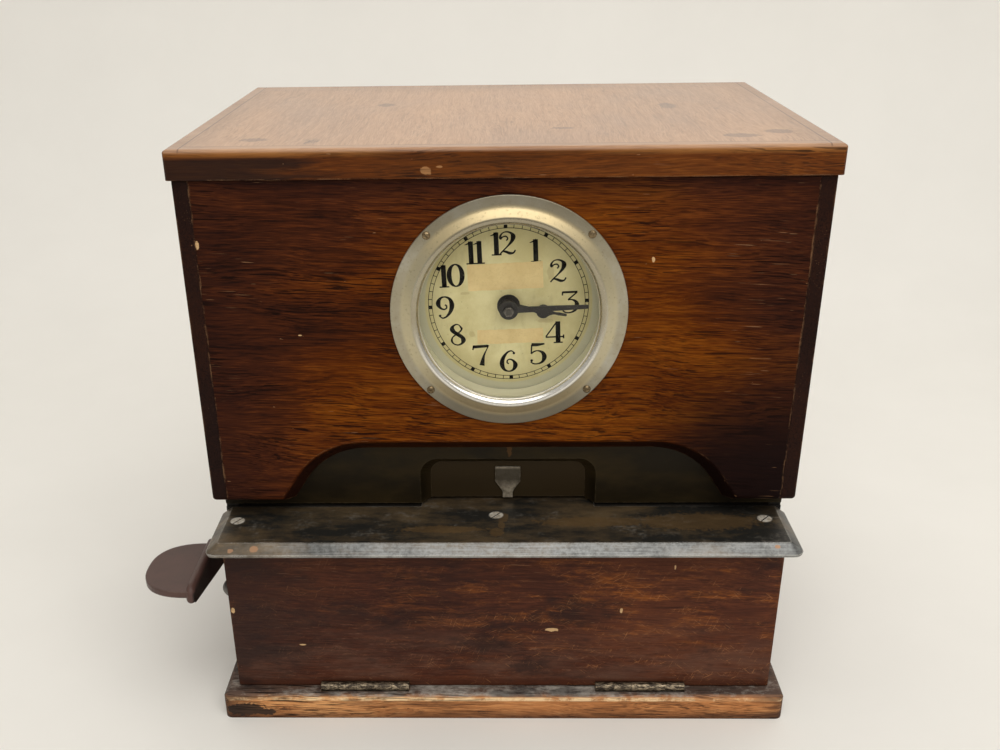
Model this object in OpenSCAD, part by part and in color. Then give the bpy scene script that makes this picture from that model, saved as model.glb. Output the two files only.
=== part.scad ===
// Desk time clock: a wooden case with a bottom-hinged front flap, a hood with a round dial above a card
// tray, and a print lever on the left side. Pressing the lever lifts a hammer under the card against an
// ink ribbon and the type wheels, which the stepping movement behind the dial turns with the hands.
// Millimetres. The origin is the middle of the plinth's underside, +Z is up and the front faces -Y.

/* [Case] */
// Width of the lower case
case_w = 382; // [370:1:400]
// Depth of the case, front to back
case_d = 276; // [266:1:300]
// Height of the plinth
plinth_h = 20.5; // [16:0.5:28]
// How far the plinth stands out beyond the case
plinth_lip = 10.5; // [9:0.5:16]
// Radius of the plinth's worn top edge
plinth_round = 4; // [2:0.5:7]
// Radius of the plinth's corners, seen from above
plinth_corner = 5; // [2:0.5:8]
// Height of the lower case's boards
lower_h = 129.5; // [124:0.5:150]
// Thickness of the side boards
board_t = 9.5; // [8:0.5:11]
// Thickness of the hood's front panel and of the flap
front_t = 12; // [10:0.5:14]
// Thickness of the back boards
back_t = 9; // [7:0.5:12]
// Radius of the worn edges of the boards
edge_round = 1.2; // [0.5:0.1:2]
// Gap around the flap
flap_gap = 0.5; // [0.3:0.1:1]
// Room above the flap, for its swing
flap_head = 2; // [1.6:0.1:4]

/* [Hood and lid] */
// How far the hood stands past the case at each side
hood_over = 1.5; // [0:0.5:4]
// Height of the hood's boards
hood_h = 211.5; // [204:0.5:234]
// Rounding of the hood's lower edge
hood_round = 4; // [2:0.5:5]
// Thickness of the lid
lid_t = 17.5; // [14:0.5:22]
// Overhang of the lid at the front and the sides
lid_over = 3; // [1:0.5:8]
// Radius of the lid's worn top edges
lid_round = 3; // [1:0.5:6]
// Radius of the lid's corners, seen from above
lid_corner = 2.5; // [1:0.5:6]
// Gap between the lid and the hood
lid_gap = 0.3; // [0.2:0.1:0.6]
// Half width of the flat top of the arch
arch_flat = 93; // [80:1:100]
// Radius of the arch's shoulders
arch_r = 56; // [48:1:64]
// Slope of the arch's feet, degrees from level
arch_slope = 57; // [50:1:64]
// Height of the arch above the hood's lower edge
arch_h = 44; // [40:0.5:50]
// Bevel around the arch
arch_bevel = 8; // [4:0.5:9]

/* [Hinges] */
// Length of a hinge
hinge_l = 63.5; // [50:0.5:76]
// Distance of each hinge from the middle
hinge_x = 99; // [80:1:120]
// Radius of a hinge barrel
hinge_r = 3.25; // [2.75:0.25:3.75]
// Thickness of a hinge leaf
leaf_t = 1.5; // [1.2:0.1:2]
// Width of a hinge leaf
leaf_w = 8; // [6:0.5:8.5]
// Radius of a hinge pin
hinge_pin_r = 1.6; // [1.2:0.1:1.8]
// How far a hinge's axis stands out from the board it serves
hinge_out = 2.25; // [1.75:0.25:2.75]

/* [Dial and bezel] */
// Distance of the dial's axis to the right of the case's middle
mech_x = 4; // [0:0.5:6]
// Distance from the hood's top edge down to the dial's axis
dial_drop = 82; // [78:0.5:90]
// Outer radius of the bezel
bezel_r = 72.5; // [70:0.5:78]
// Radius of the bezel's inner lip
lip_r = 56.3; // [54:0.1:58]
// Radius of the bezel's rolled bead
bead_r = 3.2; // [2.8:0.1:3.8]
// Thickness of the bezel's flange
flange_t = 1.5; // [1:0.1:2]
// Radius of the circle of bezel screws
bezel_screw_ring = 69.3; // [69:0.1:69.6]
// Radius of a bezel screw's head
bezel_screw_r = 2.5; // [2:0.1:2.8]
// Thickness of the glass
glass_t = 2; // [1.6:0.1:2.6]
// Rise of the domed glass
glass_dome = 6; // [5:0.5:9]
// Radius of the dial
dial_r = 62; // [60.5:0.5:68]
// Thickness of the dial
dial_t = 1.2; // [0.8:0.1:1.6]
// Gap between the dial and the front panel
dial_gap = 8; // [6:0.5:8.5]
// Length of the minute hand
minute_l = 49; // [40:0.5:52]
// Length of the hour hand
hour_l = 37; // [30:0.5:42]
// Minutes past the hour at rest
rest_minute = 14.6; // [0:0.1:59.9]
// Hour at rest
rest_hour = 3; // [0:1:11]
// How many degrees the hour hand is set ahead of the hour
hour_set = 2.5; // [-4:0.5:4]

/* [Card tray and bed] */
// Thickness of the bed
bed_t = 8; // [7:0.5:10]
// Height of the bed's walls, which carry the hood
bed_wall_h = 14.5; // [12:0.5:20]
// Thickness of the bed's walls
bed_wall_t = 8; // [7:0.5:9]
// Inset of the bed's walls from the case's sides
bed_inset = 1; // [0.5:0.5:2]
// Thickness of the tray's sheet
tray_t = 2; // [1.5:0.1:2.5]
// How far the tray reaches in front of the case
tray_reach = 37; // [30:1:44]
// Width of the tray's sloping flanges, seen from above
tray_flange = 7.5; // [6:0.5:9]
// Drop of the tray's flanges
tray_drop = 7; // [5:0.5:7.5]
// Rounding of the tray's front corners
tray_corner = 7; // [4:0.5:9]
// How far the tray's flanges stand out from the case's sides
tray_side = 2; // [1:0.5:3]
// Radius of a tray screw's head
tray_screw_r = 4.8; // [4:0.1:5.2]
// Room for the card under the throat plate
card_room = 2.5; // [2:0.1:3]
// Thickness of the throat plate
throat_t = 1.5; // [1.2:0.1:2]
// Distance of the throat plate behind the front panel
throat_gap = 8.4; // [6:0.1:10]
// Height of the throat plate
throat_h = 64; // [58:0.5:68]
// Width of the pocket pressed into the throat plate
pocket_w = 118.6; // [112:0.2:124]
// Depth of the pocket
pocket_d = 9.5; // [8:0.5:11]
// Height of the pocket above the card's plane
pocket_h = 36; // [32:0.5:42]
// Width of the pointer plate
pointer_w = 17.2; // [14:0.1:20]
// Height of the pointer plate above the card's plane
pointer_h = 26; // [22:0.5:29]

/* [Print lever and hammer] */
// Distance of the lever's shaft behind the case's front
shaft_back = 93; // [88:1:98]
// Height of the lever's shaft above the plinth
shaft_up = 73.5; // [68:0.5:80]
// Radius of the lever's shaft
shaft_r = 5; // [4:0.1:6]
// Gap between the lever's arm and the case
arm_gap = 16; // [12:0.5:20]
// Thickness of the lever's arm
arm_t = 5; // [4:0.5:7]
// Length of the lever's pad, front to back
pad_l = 67; // [60:1:74]
// Width of the lever's pad
pad_w = 36; // [30:0.5:38]
// Thickness of the lever's pad
pad_t = 4.5; // [3.5:0.1:6]
// Distance of the pad's front end ahead of the case's front
pad_ahead = 25; // [18:1:30]
// Height of the pad's top above the shaft
pad_up = 22.2; // [20:0.1:28]
// How far the lever's rib stands above its pad
rib_up = 3.8; // [2:0.1:5]
// Radius of the rib's front end, seen from the side
rib_end = 8; // [6:0.5:9.5]
// Running clearance of shafts in their bores
run = 0.06; // [0.04:0.01:0.08]
// Radius of the lock barrel's domed head
lock_r = 7.5; // [6.5:0.1:8]
// How far the lock barrel stands out
lock_out = 9; // [6:0.1:9.5]
// Radius of the hammer's pivot pin
hammer_pin_r = 3; // [2.5:0.1:3.5]
// Mean radius of the return spring's coil
spring_r = 4; // [3.5:0.1:5]
// Radius of the return spring's wire
spring_wire = 0.7; // [0.5:0.1:0.8]
// Number of curls of the return spring
spring_turns = 12; // [8:1:13]

/* [Movement and type wheels] */
// Thickness of the movement's plates
plate_t = 3; // [2.5:0.1:4]
// Distance between the movement's plates
plate_space = 40; // [40:0.5:46]
// Half width of the movement's plates
plate_half = 65; // [64:0.5:70]
// Height of the plates above the dial's axis
plate_up = 62; // [60:0.5:66]
// Distance between the centre arbor and the motion wheel's stud
motion_c = 18; // [17:0.1:19]
// Thickness of the transfer wheels
gear_t = 3; // [2:0.1:4]
// Radius of the arbors
arbor_r = 2; // [1.6:0.1:2.2]
// Gap between the type wheels and the card's plane
print_gap = 3.8; // [3.6:0.1:4.4]
// Height of the characters on a type wheel
type_rise = 1.2; // [0.8:0.1:1.6]
// Width of a type wheel's rim
type_t = 6; // [5:0.1:6.5]
// Distance of a ribbon spool from the type arbor, sideways
spool_x = 44; // [42:0.5:46]
// Radius of a ribbon spool's flange
spool_r = 13; // [11:0.1:14]
// Radius of the ribbon wound on a spool
wound_r = 8; // [6.5:0.1:10]
// Thickness of the ribbon
ribbon_t = 0.3; // [0.2:0.05:0.4]

/* [Hidden] */
$fn = 48;
eps = 0.01;

// Levels and planes of the case
case_x = case_w / 2;
hood_w = case_w + 2 * hood_over;
hood_x = hood_w / 2;
y_front = -case_d / 2;
y_back = case_d / 2;
y_panel = y_front + front_t;
z_plinth = plinth_h;
z_case = z_plinth + lower_h;
z_bed = z_case + bed_t;
z_wall = z_bed + bed_wall_h;
z_hood = z_wall + hood_h;
z_lid = z_hood + lid_gap;
z_flap = z_plinth + flap_gap;
bed_x = case_x - bed_inset;

// Hinges: the barrel is level with the fixed leaf's underside
hinge_up = hinge_r - leaf_t;
knuckles = 5;
knuckle_gap = 0.3;
mortise = 0.15;
flap_axis = [y_front - hinge_out, z_plinth + hinge_up];
lid_axis = [y_back + hinge_out, z_hood + hinge_up];

// Planes of the dial, throat and movement, from the front
y_dial = y_panel + dial_gap;
y_throat = y_panel + throat_gap;
y_pocket = y_throat + pocket_d;
y_plate = y_pocket + throat_t + 1.5;
y_inner = y_plate + plate_t;
y_rear = y_inner + plate_space;
y_gear = y_inner + 2;

// Wheel counts: transfer train one to one, motion work twelve to one
drive_n = 40;
transfer_n = 79;
cannon_n = 12;
motion_n = 36;
motion_pinion_n = 10;
hour_n = 40;
ratchet_n = 60;
type_n = 60;
cannon_m = 2 * motion_c / (cannon_n + motion_n);
hour_m = 2 * motion_c / (motion_pinion_n + hour_n);
type_r = 21.2;
z_type = z_bed + print_gap + type_r;
z_dial = z_hood - dial_drop;
transfer_c = (z_dial - z_type) / 2;
transfer_m = 2 * transfer_c / (drive_n + transfer_n);
type_at = [0, -2 * transfer_c];
transfer_at = [0, -transfer_c];
motion_dir = 135;
motion_at = motion_c * [cos(motion_dir), sin(motion_dir)];
reduction_dir = 60;
reduction_at = type_at + motion_c * [cos(reduction_dir), sin(reduction_dir)];
ratchet_r = 20;

// Stations of the motion work along the axis
y_cannon = y_plate - 4.5;
y_motion = y_plate - 4;
y_motion_pinion = y_plate - 8.5;
y_hour = y_plate - 8;
motion_t = 2.5;
cannon_r = arbor_r + 1;
pipe_r = cannon_r + 1.5;
y_hour_hand = y_dial - 4.4;
y_minute_hand = y_dial - 13.4;
hand_t = 0.9;
y_nut = y_minute_hand - 3.4;
minute_turn = 90 - 6 * rest_minute;
hour_turn = 90 - 30 * rest_hour - rest_minute / 2 - hour_set;

// Stations of the type wheels along the axis
y_minute_type = y_gear + gear_t + 5;
y_hour_type = y_minute_type + type_t + 3.4;
y_hour_gear = y_rear - 10.5;
y_reduction_pinion = y_rear - 11;
y_reduction = y_rear - 6.5;
ribbon_edge = 3.5;
y_ribbon = y_minute_type - ribbon_edge;
ribbon_w = y_hour_type + type_t + ribbon_edge - y_ribbon;
z_ribbon = z_bed + card_room + 0.4;
spool_at = [spool_x, type_at.y - 5];
y_spool = y_ribbon - 1.7;
spool_l = ribbon_w + 3.4;
guide_r = 1.2;
guide_x = 27;
guide_z = z_ribbon + ribbon_t + 0.3 + guide_r;

// Bezel and glass, as heights in front of the panel
bead_c = [lip_r + bead_r - 0.1, flange_t - 0.4];
bead_foot = bead_c + bead_r * [cos(70), sin(70)];
seat_r = lip_r + 0.9;
sleeve_r = seat_r + 1.4;
sleeve_d = front_t + dial_gap - 0.7;
glass_r = seat_r - 0.2;
glass_h = flange_t - 0.7;

// Lever, hammer and lock
shaft_y = y_front + shaft_back;
shaft_z = z_plinth + shaft_up;
arm_x = -case_x - arm_gap;
pad_top = shaft_z + pad_up;
pad_front = y_front - pad_ahead;
pad_back = pad_front + pad_l;
rib_h = 9.2;
rib_r = 3;
rib_top = pad_top + rib_up;
rib_low = min(pad_top - rib_h + rib_r, rib_top - rib_end - 0.2);
pad_set = 1.5;
hub_r = shaft_r + 5;
bush_r = shaft_r + 3;
flange_r = shaft_r + 6;
print_y = (y_minute_type + y_hour_type + type_t) / 2;
hammer_half = 5;
crank_a = 18;
crank_dir = 45;
roller_r = 4;
roller_y = shaft_y + crank_a * cos(crank_dir);
roller_z = shaft_z + crank_a * sin(crank_dir);
hammer_under = roller_z + roller_r + 0.5;
hammer_y = roller_y + 42;
hammer_z = hammer_under + 4;
platen_top = z_case + 1;
platen_t = 5;
window_half = [16, 14];
spring_x = mech_x - 25;
spring_y = shaft_y - 18;
spring_lug = 8;
spring_pin_r = 1.5;
lock_y = y_panel + 9;
lock_z = z_plinth + 71.5;
lock_body_r = 5.5;
tongue_l = 7;
magnet_x = [36, 56];
magnet_y = y_inner + plate_space / 2;
coil_r = 8.5;
coil_z = [12, 42];
armature_at = [61, 3];
pawl_l = armature_at.x - ratchet_r - 1;
armature_l = pawl_l - 6;

// Points of an arc, from angle a0 to a1 in n steps
function arc(c, r, a0, a1, n = 8) =
    [for (i = [0:n]) c + r * [cos(a0 + (a1 - a0) * i / n), sin(a0 + (a1 - a0) * i / n)]];

// Outline of a toothed wheel: straight-flanked teeth with running play
tooth = [[-0.30, -1.15], [-0.13, 0.85], [0.13, 0.85], [0.30, -1.15]];
function wheel(n, m, turn = 0) = [
    for (i = [0:n - 1]) for (p = tooth)
        let (a = turn + 360 / n * (i + p.x), r = n * m / 2 + p.y * m)
        r * [cos(a), sin(a)]
];

// Turn of wheel b so that its gaps take the teeth of wheel a, which lies opposite direction dir
function mesh_turn(na, ta, nb, dir) = dir + 180 - 360 / nb * (0.5 - (dir - ta) * na / 360);

// Rounded block between two corners, worn along its top edges or along all its edges
module board(lo, hi, r, bottom = false) {
    size = hi - lo;
    translate(lo) intersection() {
        rotate([90, 0, 90])
            linear_extrude(size.x)
                polygon(worn(size.y, size.z, r, bottom));
        translate([0, size.y, 0])
            rotate([90, 0, 0])
                linear_extrude(size.y)
                    polygon(worn(size.x, size.z, r, bottom));
    }
}
// The same block with its upright corners rounded too
module rounded_board(lo, hi, r, corner)
    intersection() {
        board(lo, hi, r);
        translate([lo.x, lo.y, lo.z - 1])
            linear_extrude(hi.z - lo.z + 2)
                polygon(worn(hi.x - lo.x, hi.y - lo.y, corner, true));
    }
function worn(w, h, r, bottom) = concat(
    bottom ? arc([r, r], r, 270, 180, 4) : [[0, 0]],
    arc([r, h - r], r, 180, 90, 4),
    arc([w - r, h - r], r, 90, 0, 4),
    bottom ? arc([w - r, r], r, 0, -90, 4) : [[w, 0]]
);

// A flat outline in the front plane, centred on the dial's axis plus at, from y backwards by t
module slice(y, t, at = [0, 0])
    translate([mech_x + at.x, y + t, z_dial + at.y])
        rotate([90, 0, 0])
            linear_extrude(t)
                children();

// A rod along Y from y backwards by l, and a rod along X from x by l
module rod_y(y, l, r, at = [0, 0])
    translate([mech_x + at.x, y + l, z_dial + at.y])
        rotate([90, 0, 0])
            cylinder(h = l, r = r);
module rod_x(x, l, r, y, z)
    translate([x, y, z])
        rotate([0, 90, 0])
            cylinder(h = l, r = r);

// A side outline in Y and Z, from x by t
module side(x, t)
    translate([x, 0, 0])
        rotate([90, 0, 90])
            linear_extrude(t)
                children();

// A solid between two outlines of as many points, in front planes at y0 and y1
module loft_y(a, y0, b, y1) {
    n = len(a);
    polyhedron(
        points = concat([for (p = a) [p.x, y0, p.y]], [for (p = b) [p.x, y1, p.y]]),
        faces = concat(
            [[for (i = [0:n - 1]) i]],
            [[for (i = [0:n - 1]) 2 * n - 1 - i]],
            [for (i = [0:n - 1]) [i, i + n, (i + 1) % n]],
            [for (i = [0:n - 1]) [(i + 1) % n, i + n, (i + 1) % n + n]]
        )
    );
}

// Butt hinge: the knuckles of one leaf, along X about the axis
function knuckle_l() = (hinge_l - (knuckles - 1) * knuckle_gap) / knuckles;
module knuckle_set(first) {
    for (i = [first:2:knuckles - 1])
        translate([i * (knuckle_l() + knuckle_gap) - hinge_l / 2, 0, 0])
            rotate([0, 90, 0])
                difference() {
                    cylinder(h = knuckle_l(), r = hinge_r);
                    translate([0, 0, -1])
                        cylinder(h = knuckle_l() + 2, r = hinge_pin_r + run);
                }
}

// Both hinges of a row at an axis; side -1 has its leaves behind the axis, +1 in front of it
module hinge_row(axis, way) {
    for (s = [-1, 1])
        translate([s * hinge_x, axis.x, axis.y])
            scale([1, 1, 1])
                mirror([0, way > 0 ? 1 : 0, 0])
                    children();
}
leaf_reach = hinge_out + leaf_w;
module leaf_fixed() {
    knuckle_set(0);
    difference() {
        for (i = [0:2:knuckles - 1])
            translate([i * (knuckle_l() + knuckle_gap) - hinge_l / 2, 0, -hinge_r])
                cube([knuckle_l(), hinge_r + 1, leaf_t]);
        rotate([0, 90, 0])
            cylinder(h = 2 * hinge_l, r = hinge_r - 0.5, center = true);
    }
    translate([-hinge_l / 2, hinge_r + 0.4, -hinge_r])
        cube([hinge_l, leaf_reach - hinge_r - 0.4, leaf_t]);
}
module leaf_moving() {
    knuckle_set(1);
    z0 = flap_gap - hinge_up;
    difference() {
        for (i = [1:2:knuckles - 1])
            translate([i * (knuckle_l() + knuckle_gap) - hinge_l / 2, 0, z0])
                cube([knuckle_l(), hinge_r + 1, leaf_t]);
        rotate([0, 90, 0])
            cylinder(h = 2 * hinge_l, r = hinge_r - 0.5, center = true);
    }
    translate([-hinge_l / 2, hinge_r + 0.4, z0])
        cube([hinge_l, leaf_reach - hinge_r - 0.4, leaf_t]);
}
module leaf_pin()
    rotate([0, 90, 0])
        cylinder(h = hinge_l, r = hinge_pin_r, center = true);

// Rooms for the leaves and barrels in the boards
module fixed_room() {
    translate([-hinge_l / 2 - mortise, -hinge_r - 0.6, -hinge_r - mortise])
        cube([hinge_l + 2 * mortise, hinge_r + 0.6 + leaf_reach + mortise, 3 * hinge_r]);
}
module moving_room() {
    z1 = flap_gap - hinge_up + leaf_t + mortise;
    translate([-hinge_l / 2 - mortise, 0, -2 * hinge_r])
        cube([hinge_l + 2 * mortise, leaf_reach + mortise, 2 * hinge_r + z1]);
    rotate([0, 90, 0])
        cylinder(h = hinge_l + 2 * mortise, r = hinge_r + 0.4, center = true);
}

// Case boards
module plinth() color("saddlebrown") {
    out = [case_x + plinth_lip, case_d / 2 + plinth_lip];
    difference() {
        rounded_board([-out.x, -out.y, 0], [out.x, out.y, plinth_h], plinth_round, plinth_corner);
        hinge_row(flap_axis, -1)
            fixed_room();
    }
}
module case_side(s) {
    x0 = s > 0 ? case_x - board_t : -case_x;
    board([x0, y_panel + flap_gap, z_plinth], [x0 + board_t, y_back, z_case], edge_round / 2, true);
}
module case_left() color("sienna")
    difference() {
        case_side(-1);
        rod_x(-case_x - 1, board_t + 2, bush_r + run, shaft_y, shaft_z);
        rod_x(-case_x - 1, board_t + 2, lock_body_r + run, lock_y, lock_z);
    }
module case_right() color("sienna")
    case_side(1);
inlet_x = -110;
inlet_z = z_plinth + 40;
inlet_r = 6;
module case_back() color("sienna")
    difference() {
        translate([-case_x + board_t, y_back - back_t, z_plinth])
            cube([case_w - 2 * board_t, back_t, lower_h]);
        translate([inlet_x, y_back + 1, inlet_z])
            rotate([90, 0, 0])
                cylinder(h = back_t + 2, r = inlet_r + run);
    }
module front_flap() color("sienna")
    difference() {
        board([-case_x, y_front, z_flap], [case_x, y_panel, z_case - flap_head], edge_round, true);
        hinge_row(flap_axis, -1)
            moving_room();
    }
module flap_hinge_fixed() color("tan")
    hinge_row(flap_axis, -1)
        leaf_fixed();
module flap_hinge_moving() color("tan")
    hinge_row(flap_axis, -1)
        leaf_moving();
module flap_hinge_pins() color("silver")
    hinge_row(flap_axis, -1)
        leaf_pin();

// Flap lock: a barrel through the left side, a tongue on its inner end and a keeper on the flap
tongue_t = 2;
tongue_x = -case_x + board_t + 0.6;
module lock_barrel() color("dimgray") {
    rod_x(-case_x, board_t + 0.6, lock_body_r, lock_y, lock_z);
    translate([-case_x, lock_y, lock_z])
        rotate([0, -90, 0])
            rotate_extrude()
                polygon(concat([[0, 0]], [for (i = [0:10]) [lock_r * cos(9 * i), lock_out * sin(9 * i)]]));
}
module lock_tongue() color("silver")
    side(tongue_x, tongue_t)
        translate([lock_y, lock_z]) {
            circle(r = lock_body_r);
            translate([-lock_body_r - 2, -2])
                square([lock_body_r + 2, 4]);
        }
keeper_foot = [10, 3];
module lock_keeper() color("silver") {
    z0 = lock_z + lock_body_r + 1;
    x0 = tongue_x + tongue_t + 0.6;
    translate([x0, y_panel, z0])
        cube([2, lock_y - y_panel + 6, 6]);
    translate([x0, y_panel, z0 - 4])
        cube([keeper_foot.x, keeper_foot.y - 1, 14]);
    translate([x0 - tongue_t - 0.6, lock_y + 3, z0])
        cube([tongue_t + 0.7, 3, 6]);
}

// Bed: a casting with walls that carry the hood, a ledge under the tray and a window for the hammer
ledge_front = y_front - 14;
ledge_x = case_x + tray_side - tray_flange - 3;
tongue_half = pocket_w / 2;
tongue_back = y_pocket + throat_t + 7;
module bed() color("#2b2b2a")
    difference() {
        union() {
            translate([-bed_x, y_throat, z_case])
                cube([2 * bed_x, y_back - 3 - y_throat, bed_t]);
            translate([-ledge_x, ledge_front, z_case])
                cube([2 * ledge_x, y_throat - ledge_front, bed_t - tray_t]);
            for (s = [0, 1])
                mirror([s, 0, 0])
                    translate([bed_x - bed_wall_t, y_throat + throat_t, z_case])
                        cube([bed_wall_t, y_back - 3 - y_throat - throat_t, bed_t + bed_wall_h]);
            translate([-bed_x, y_back - 3 - bed_wall_t, z_case])
                cube([2 * bed_x, bed_wall_t, bed_t + bed_wall_h]);
            translate([spring_x - 3, spring_y - 4, z_case - spring_lug])
                cube([6, 8, spring_lug + 1]);
        }
        translate([mech_x - tongue_half - 0.2, y_throat - 1, z_bed - tray_t])
            cube([2 * tongue_half + 0.4, tongue_back + 1.2 - y_throat, tray_t + 1]);
        translate([mech_x - window_half.x, print_y - window_half.y, z_case - 1])
            cube([2 * window_half.x, 2 * window_half.y, bed_t + 2]);
        for (p = tray_screw_at)
            translate([p.x, p.y, z_case - 1])
                cylinder(h = bed_t + 2, r = tray_shank_r + run);
    }

// Tray: a sheet with flanges sloping down at the front and both sides, and a tongue under the throat
tray_x = case_x + tray_side;
tray_front = y_front - tray_reach;
tray_rear = y_throat - 0.3;
tray_shank_r = 2.2;
tray_head_h = tray_t - 0.2;
tray_screw_at = [[-tray_x + 15, y_front], [mech_x - 8, y_front + 7.5], [tray_x - 18, y_front + 2]];
tray_lip = 1.6;
function tray_plan(in, rear, r) = let (x = tray_x - in, y = tray_front + in) concat(
    [[-x, rear]],
    arc([r - x, y + r], r, 180, 270, 5),
    arc([x - r, y + r], r, 270, 360, 5),
    [[x, rear]]
);
module loft_z(a, z0, b, z1) {
    n = len(a);
    polyhedron(
        points = concat([for (p = a) [p.x, p.y, z0]], [for (p = b) [p.x, p.y, z1]]),
        faces = concat(
            [[for (i = [0:n - 1]) i]],
            [[for (i = [0:n - 1]) 2 * n - 1 - i]],
            [for (i = [0:n - 1]) [i, i + n, (i + 1) % n]],
            [for (i = [0:n - 1]) [(i + 1) % n, i + n, (i + 1) % n + n]]
        )
    );
}
module tray_form() {
    z = z_bed - tray_drop;
    edge = tray_plan(0, tray_rear, tray_corner);
    loft_z(tray_plan(0.4, tray_rear, tray_corner - 0.4), z, edge, z + tray_lip);
    loft_z(edge, z + tray_lip, tray_plan(tray_flange, tray_rear, 1.5), z_bed);
}
module tray_hollow() {
    z = z_bed - tray_drop;
    rear = tray_rear + 1;
    edge = tray_plan(tray_t, rear, tray_corner - tray_t);
    loft_z(edge, z - 1, edge, z + tray_lip - 0.6);
    loft_z(edge, z + tray_lip - 0.6, tray_plan(tray_flange + 0.8, rear, 1.2), z_bed - tray_t);
}
module card_tray() color("#343533")
    difference() {
        union() {
            difference() {
                tray_form();
                tray_hollow();
            }
            translate([mech_x - tongue_half, tray_rear - 1, z_bed - tray_t])
                cube([2 * tongue_half, tongue_back - tray_rear + 1, tray_t]);
        }
        translate([mech_x - window_half.x, print_y - window_half.y, z_case - 1])
            cube([2 * window_half.x, 2 * window_half.y, bed_t + 2]);
        for (p = tray_screw_at)
            translate([p.x, p.y, z_bed]) {
                translate([0, 0, -tray_t - 1])
                    cylinder(h = tray_t + 2, r = tray_shank_r + run);
                translate([0, 0, -tray_head_h])
                    cylinder(h = tray_head_h, r1 = tray_shank_r, r2 = tray_screw_r);
                cylinder(h = 1, r = tray_screw_r);
            }
    }
module tray_screws() color("silver")
    for (p = tray_screw_at)
        translate([p.x, p.y, z_bed])
            difference() {
                union() {
                    translate([0, 0, -bed_t])
                        cylinder(h = bed_t, r = tray_shank_r);
                    translate([0, 0, -tray_head_h])
                        cylinder(h = tray_head_h, r1 = tray_shank_r, r2 = tray_screw_r - 0.1);
                }
                rotate([0, 0, 55 + p.x])
                    translate([-tray_screw_r, -0.5, -1])
                        cube([2 * tray_screw_r, 1, 2]);
            }

// Throat plate with its pressed pocket, open below for the card
pocket_taper = 6.5;
function pocket_pts(half, top, r, low) = concat(
    [[mech_x - half, low]],
    arc([mech_x - half + r, top - r], r, 180, 90, 6),
    arc([mech_x + half - r, top - r], r, 90, 0, 6),
    [[mech_x + half, low]]
);
module throat_plate() color("#26261f") {
    z0 = z_bed + card_room;
    half = pocket_w / 2;
    top = z_bed + pocket_h;
    difference() {
        union() {
            translate([-bed_x, y_throat, z0])
                cube([2 * bed_x, throat_t, z_wall - z0]);
            translate([-hood_x + board_t + 0.3, y_throat, z0])
                cube([hood_w - 2 * board_t - 0.6, throat_t, throat_h]);
            loft_y(
                pocket_pts(half + throat_t, top + throat_t, 12 + throat_t, z0), y_throat + throat_t / 2,
                pocket_pts(half - pocket_taper + throat_t, top - pocket_taper + throat_t, 9, z0),
                y_pocket + throat_t
            );
        }
        loft_y(
            pocket_pts(half + 0.7, top + 0.7, 12, z0 - 1), y_throat - 1,
            pocket_pts(half - pocket_taper, top - pocket_taper, 8, z0 - 1), y_pocket
        );
    }
}
pointer_t = 1.5;
module pointer() color("darkkhaki") {
    w = pointer_w / 2;
    stem = 3.4;
    z0 = z_bed + card_room;
    top = z_bed + pointer_h;
    translate([mech_x, y_pocket, 0])
        rotate([90, 0, 0])
            linear_extrude(pointer_t)
                polygon(concat(
                    [[-stem, z0], [stem, z0], [stem, top - 19.5], [stem + 0.8, top - 17.5]],
                    [[w, top - 11], [w, top - 0.6], [w - 0.6, top], [0.6 - w, top], [-w, top - 0.6]],
                    [[-w, top - 11], [-stem - 0.8, top - 17.5], [-stem, top - 19.5]]
                ));
}

// Hood boards
function arch_pts(in, low) = let (
        half = arch_flat,
        top = z_wall + arch_h - in,
        r = arch_r - in,
        foot = half + r * sin(arch_slope),
        foot_z = top - r + r * cos(arch_slope),
        run_out = (foot_z - low) / tan(arch_slope)
    ) concat(
        [[mech_x - foot - run_out, low]],
        arc([mech_x - half, top - r], r, 90 + arch_slope, 90, 8),
        arc([mech_x + half, top - r], r, 90, 90 - arch_slope, 8),
        [[mech_x + foot + run_out, low]]
    );
module hood_front() color("#6b2f14")
    difference() {
        side(-hood_x + board_t, hood_w - 2 * board_t)
            polygon(concat(
                arc([y_front + hood_round, z_wall + hood_round], hood_round, 270, 180, 5),
                [[y_front, z_hood], [y_panel, z_hood], [y_panel, z_wall]]
            ));
        loft_y(
            arch_pts(-1, z_wall - 1), y_front - 1,
            arch_pts(arch_bevel, z_wall - 1), y_front + arch_bevel
        );
        loft_y(
            arch_pts(arch_bevel, z_wall - 1), y_front + arch_bevel - eps,
            arch_pts(arch_bevel, z_wall - 1), y_panel + 1
        );
        rod_y(y_front - 1, front_t + 2, sleeve_r + 0.3);
        for (a = bezel_screw_dirs)
            rod_y(y_front - 1, 10, 1.25, bezel_screw_ring * [cos(a), sin(a)]);
    }
module hood_side(s) {
    r = edge_round / 2;
    intersection() {
        side(s > 0 ? hood_x - board_t : -hood_x, board_t)
            polygon(concat(
                arc([y_front + hood_round, z_wall + hood_round], hood_round, 270, 180, 5),
                arc([y_front + r, z_hood - r], r, 180, 90, 3),
                [[y_back, z_hood], [y_back, z_wall]]
            ));
        translate([0, y_back, 0])
            rotate([90, 0, 0])
                linear_extrude(case_d)
                    mirror([s > 0 ? 1 : 0, 0])
                        polygon(concat(
                            arc([hood_round - hood_x, z_wall + hood_round], hood_round, 270, 180, 5),
                            arc([r - hood_x, z_hood - r], r, 180, 90, 3),
                            [[board_t - hood_x, z_hood], [board_t - hood_x, z_wall]]
                        ));
    }
}
module hood_left() color("#5a2712")
    hood_side(-1);
module hood_right() color("#5a2712")
    hood_side(1);
module hood_back() color("#5a2712")
    difference() {
        translate([-hood_x + board_t, y_back - back_t, z_wall])
            cube([hood_w - 2 * board_t, back_t, hood_h]);
        hinge_row(lid_axis, 1)
            fixed_room();
    }
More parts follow.
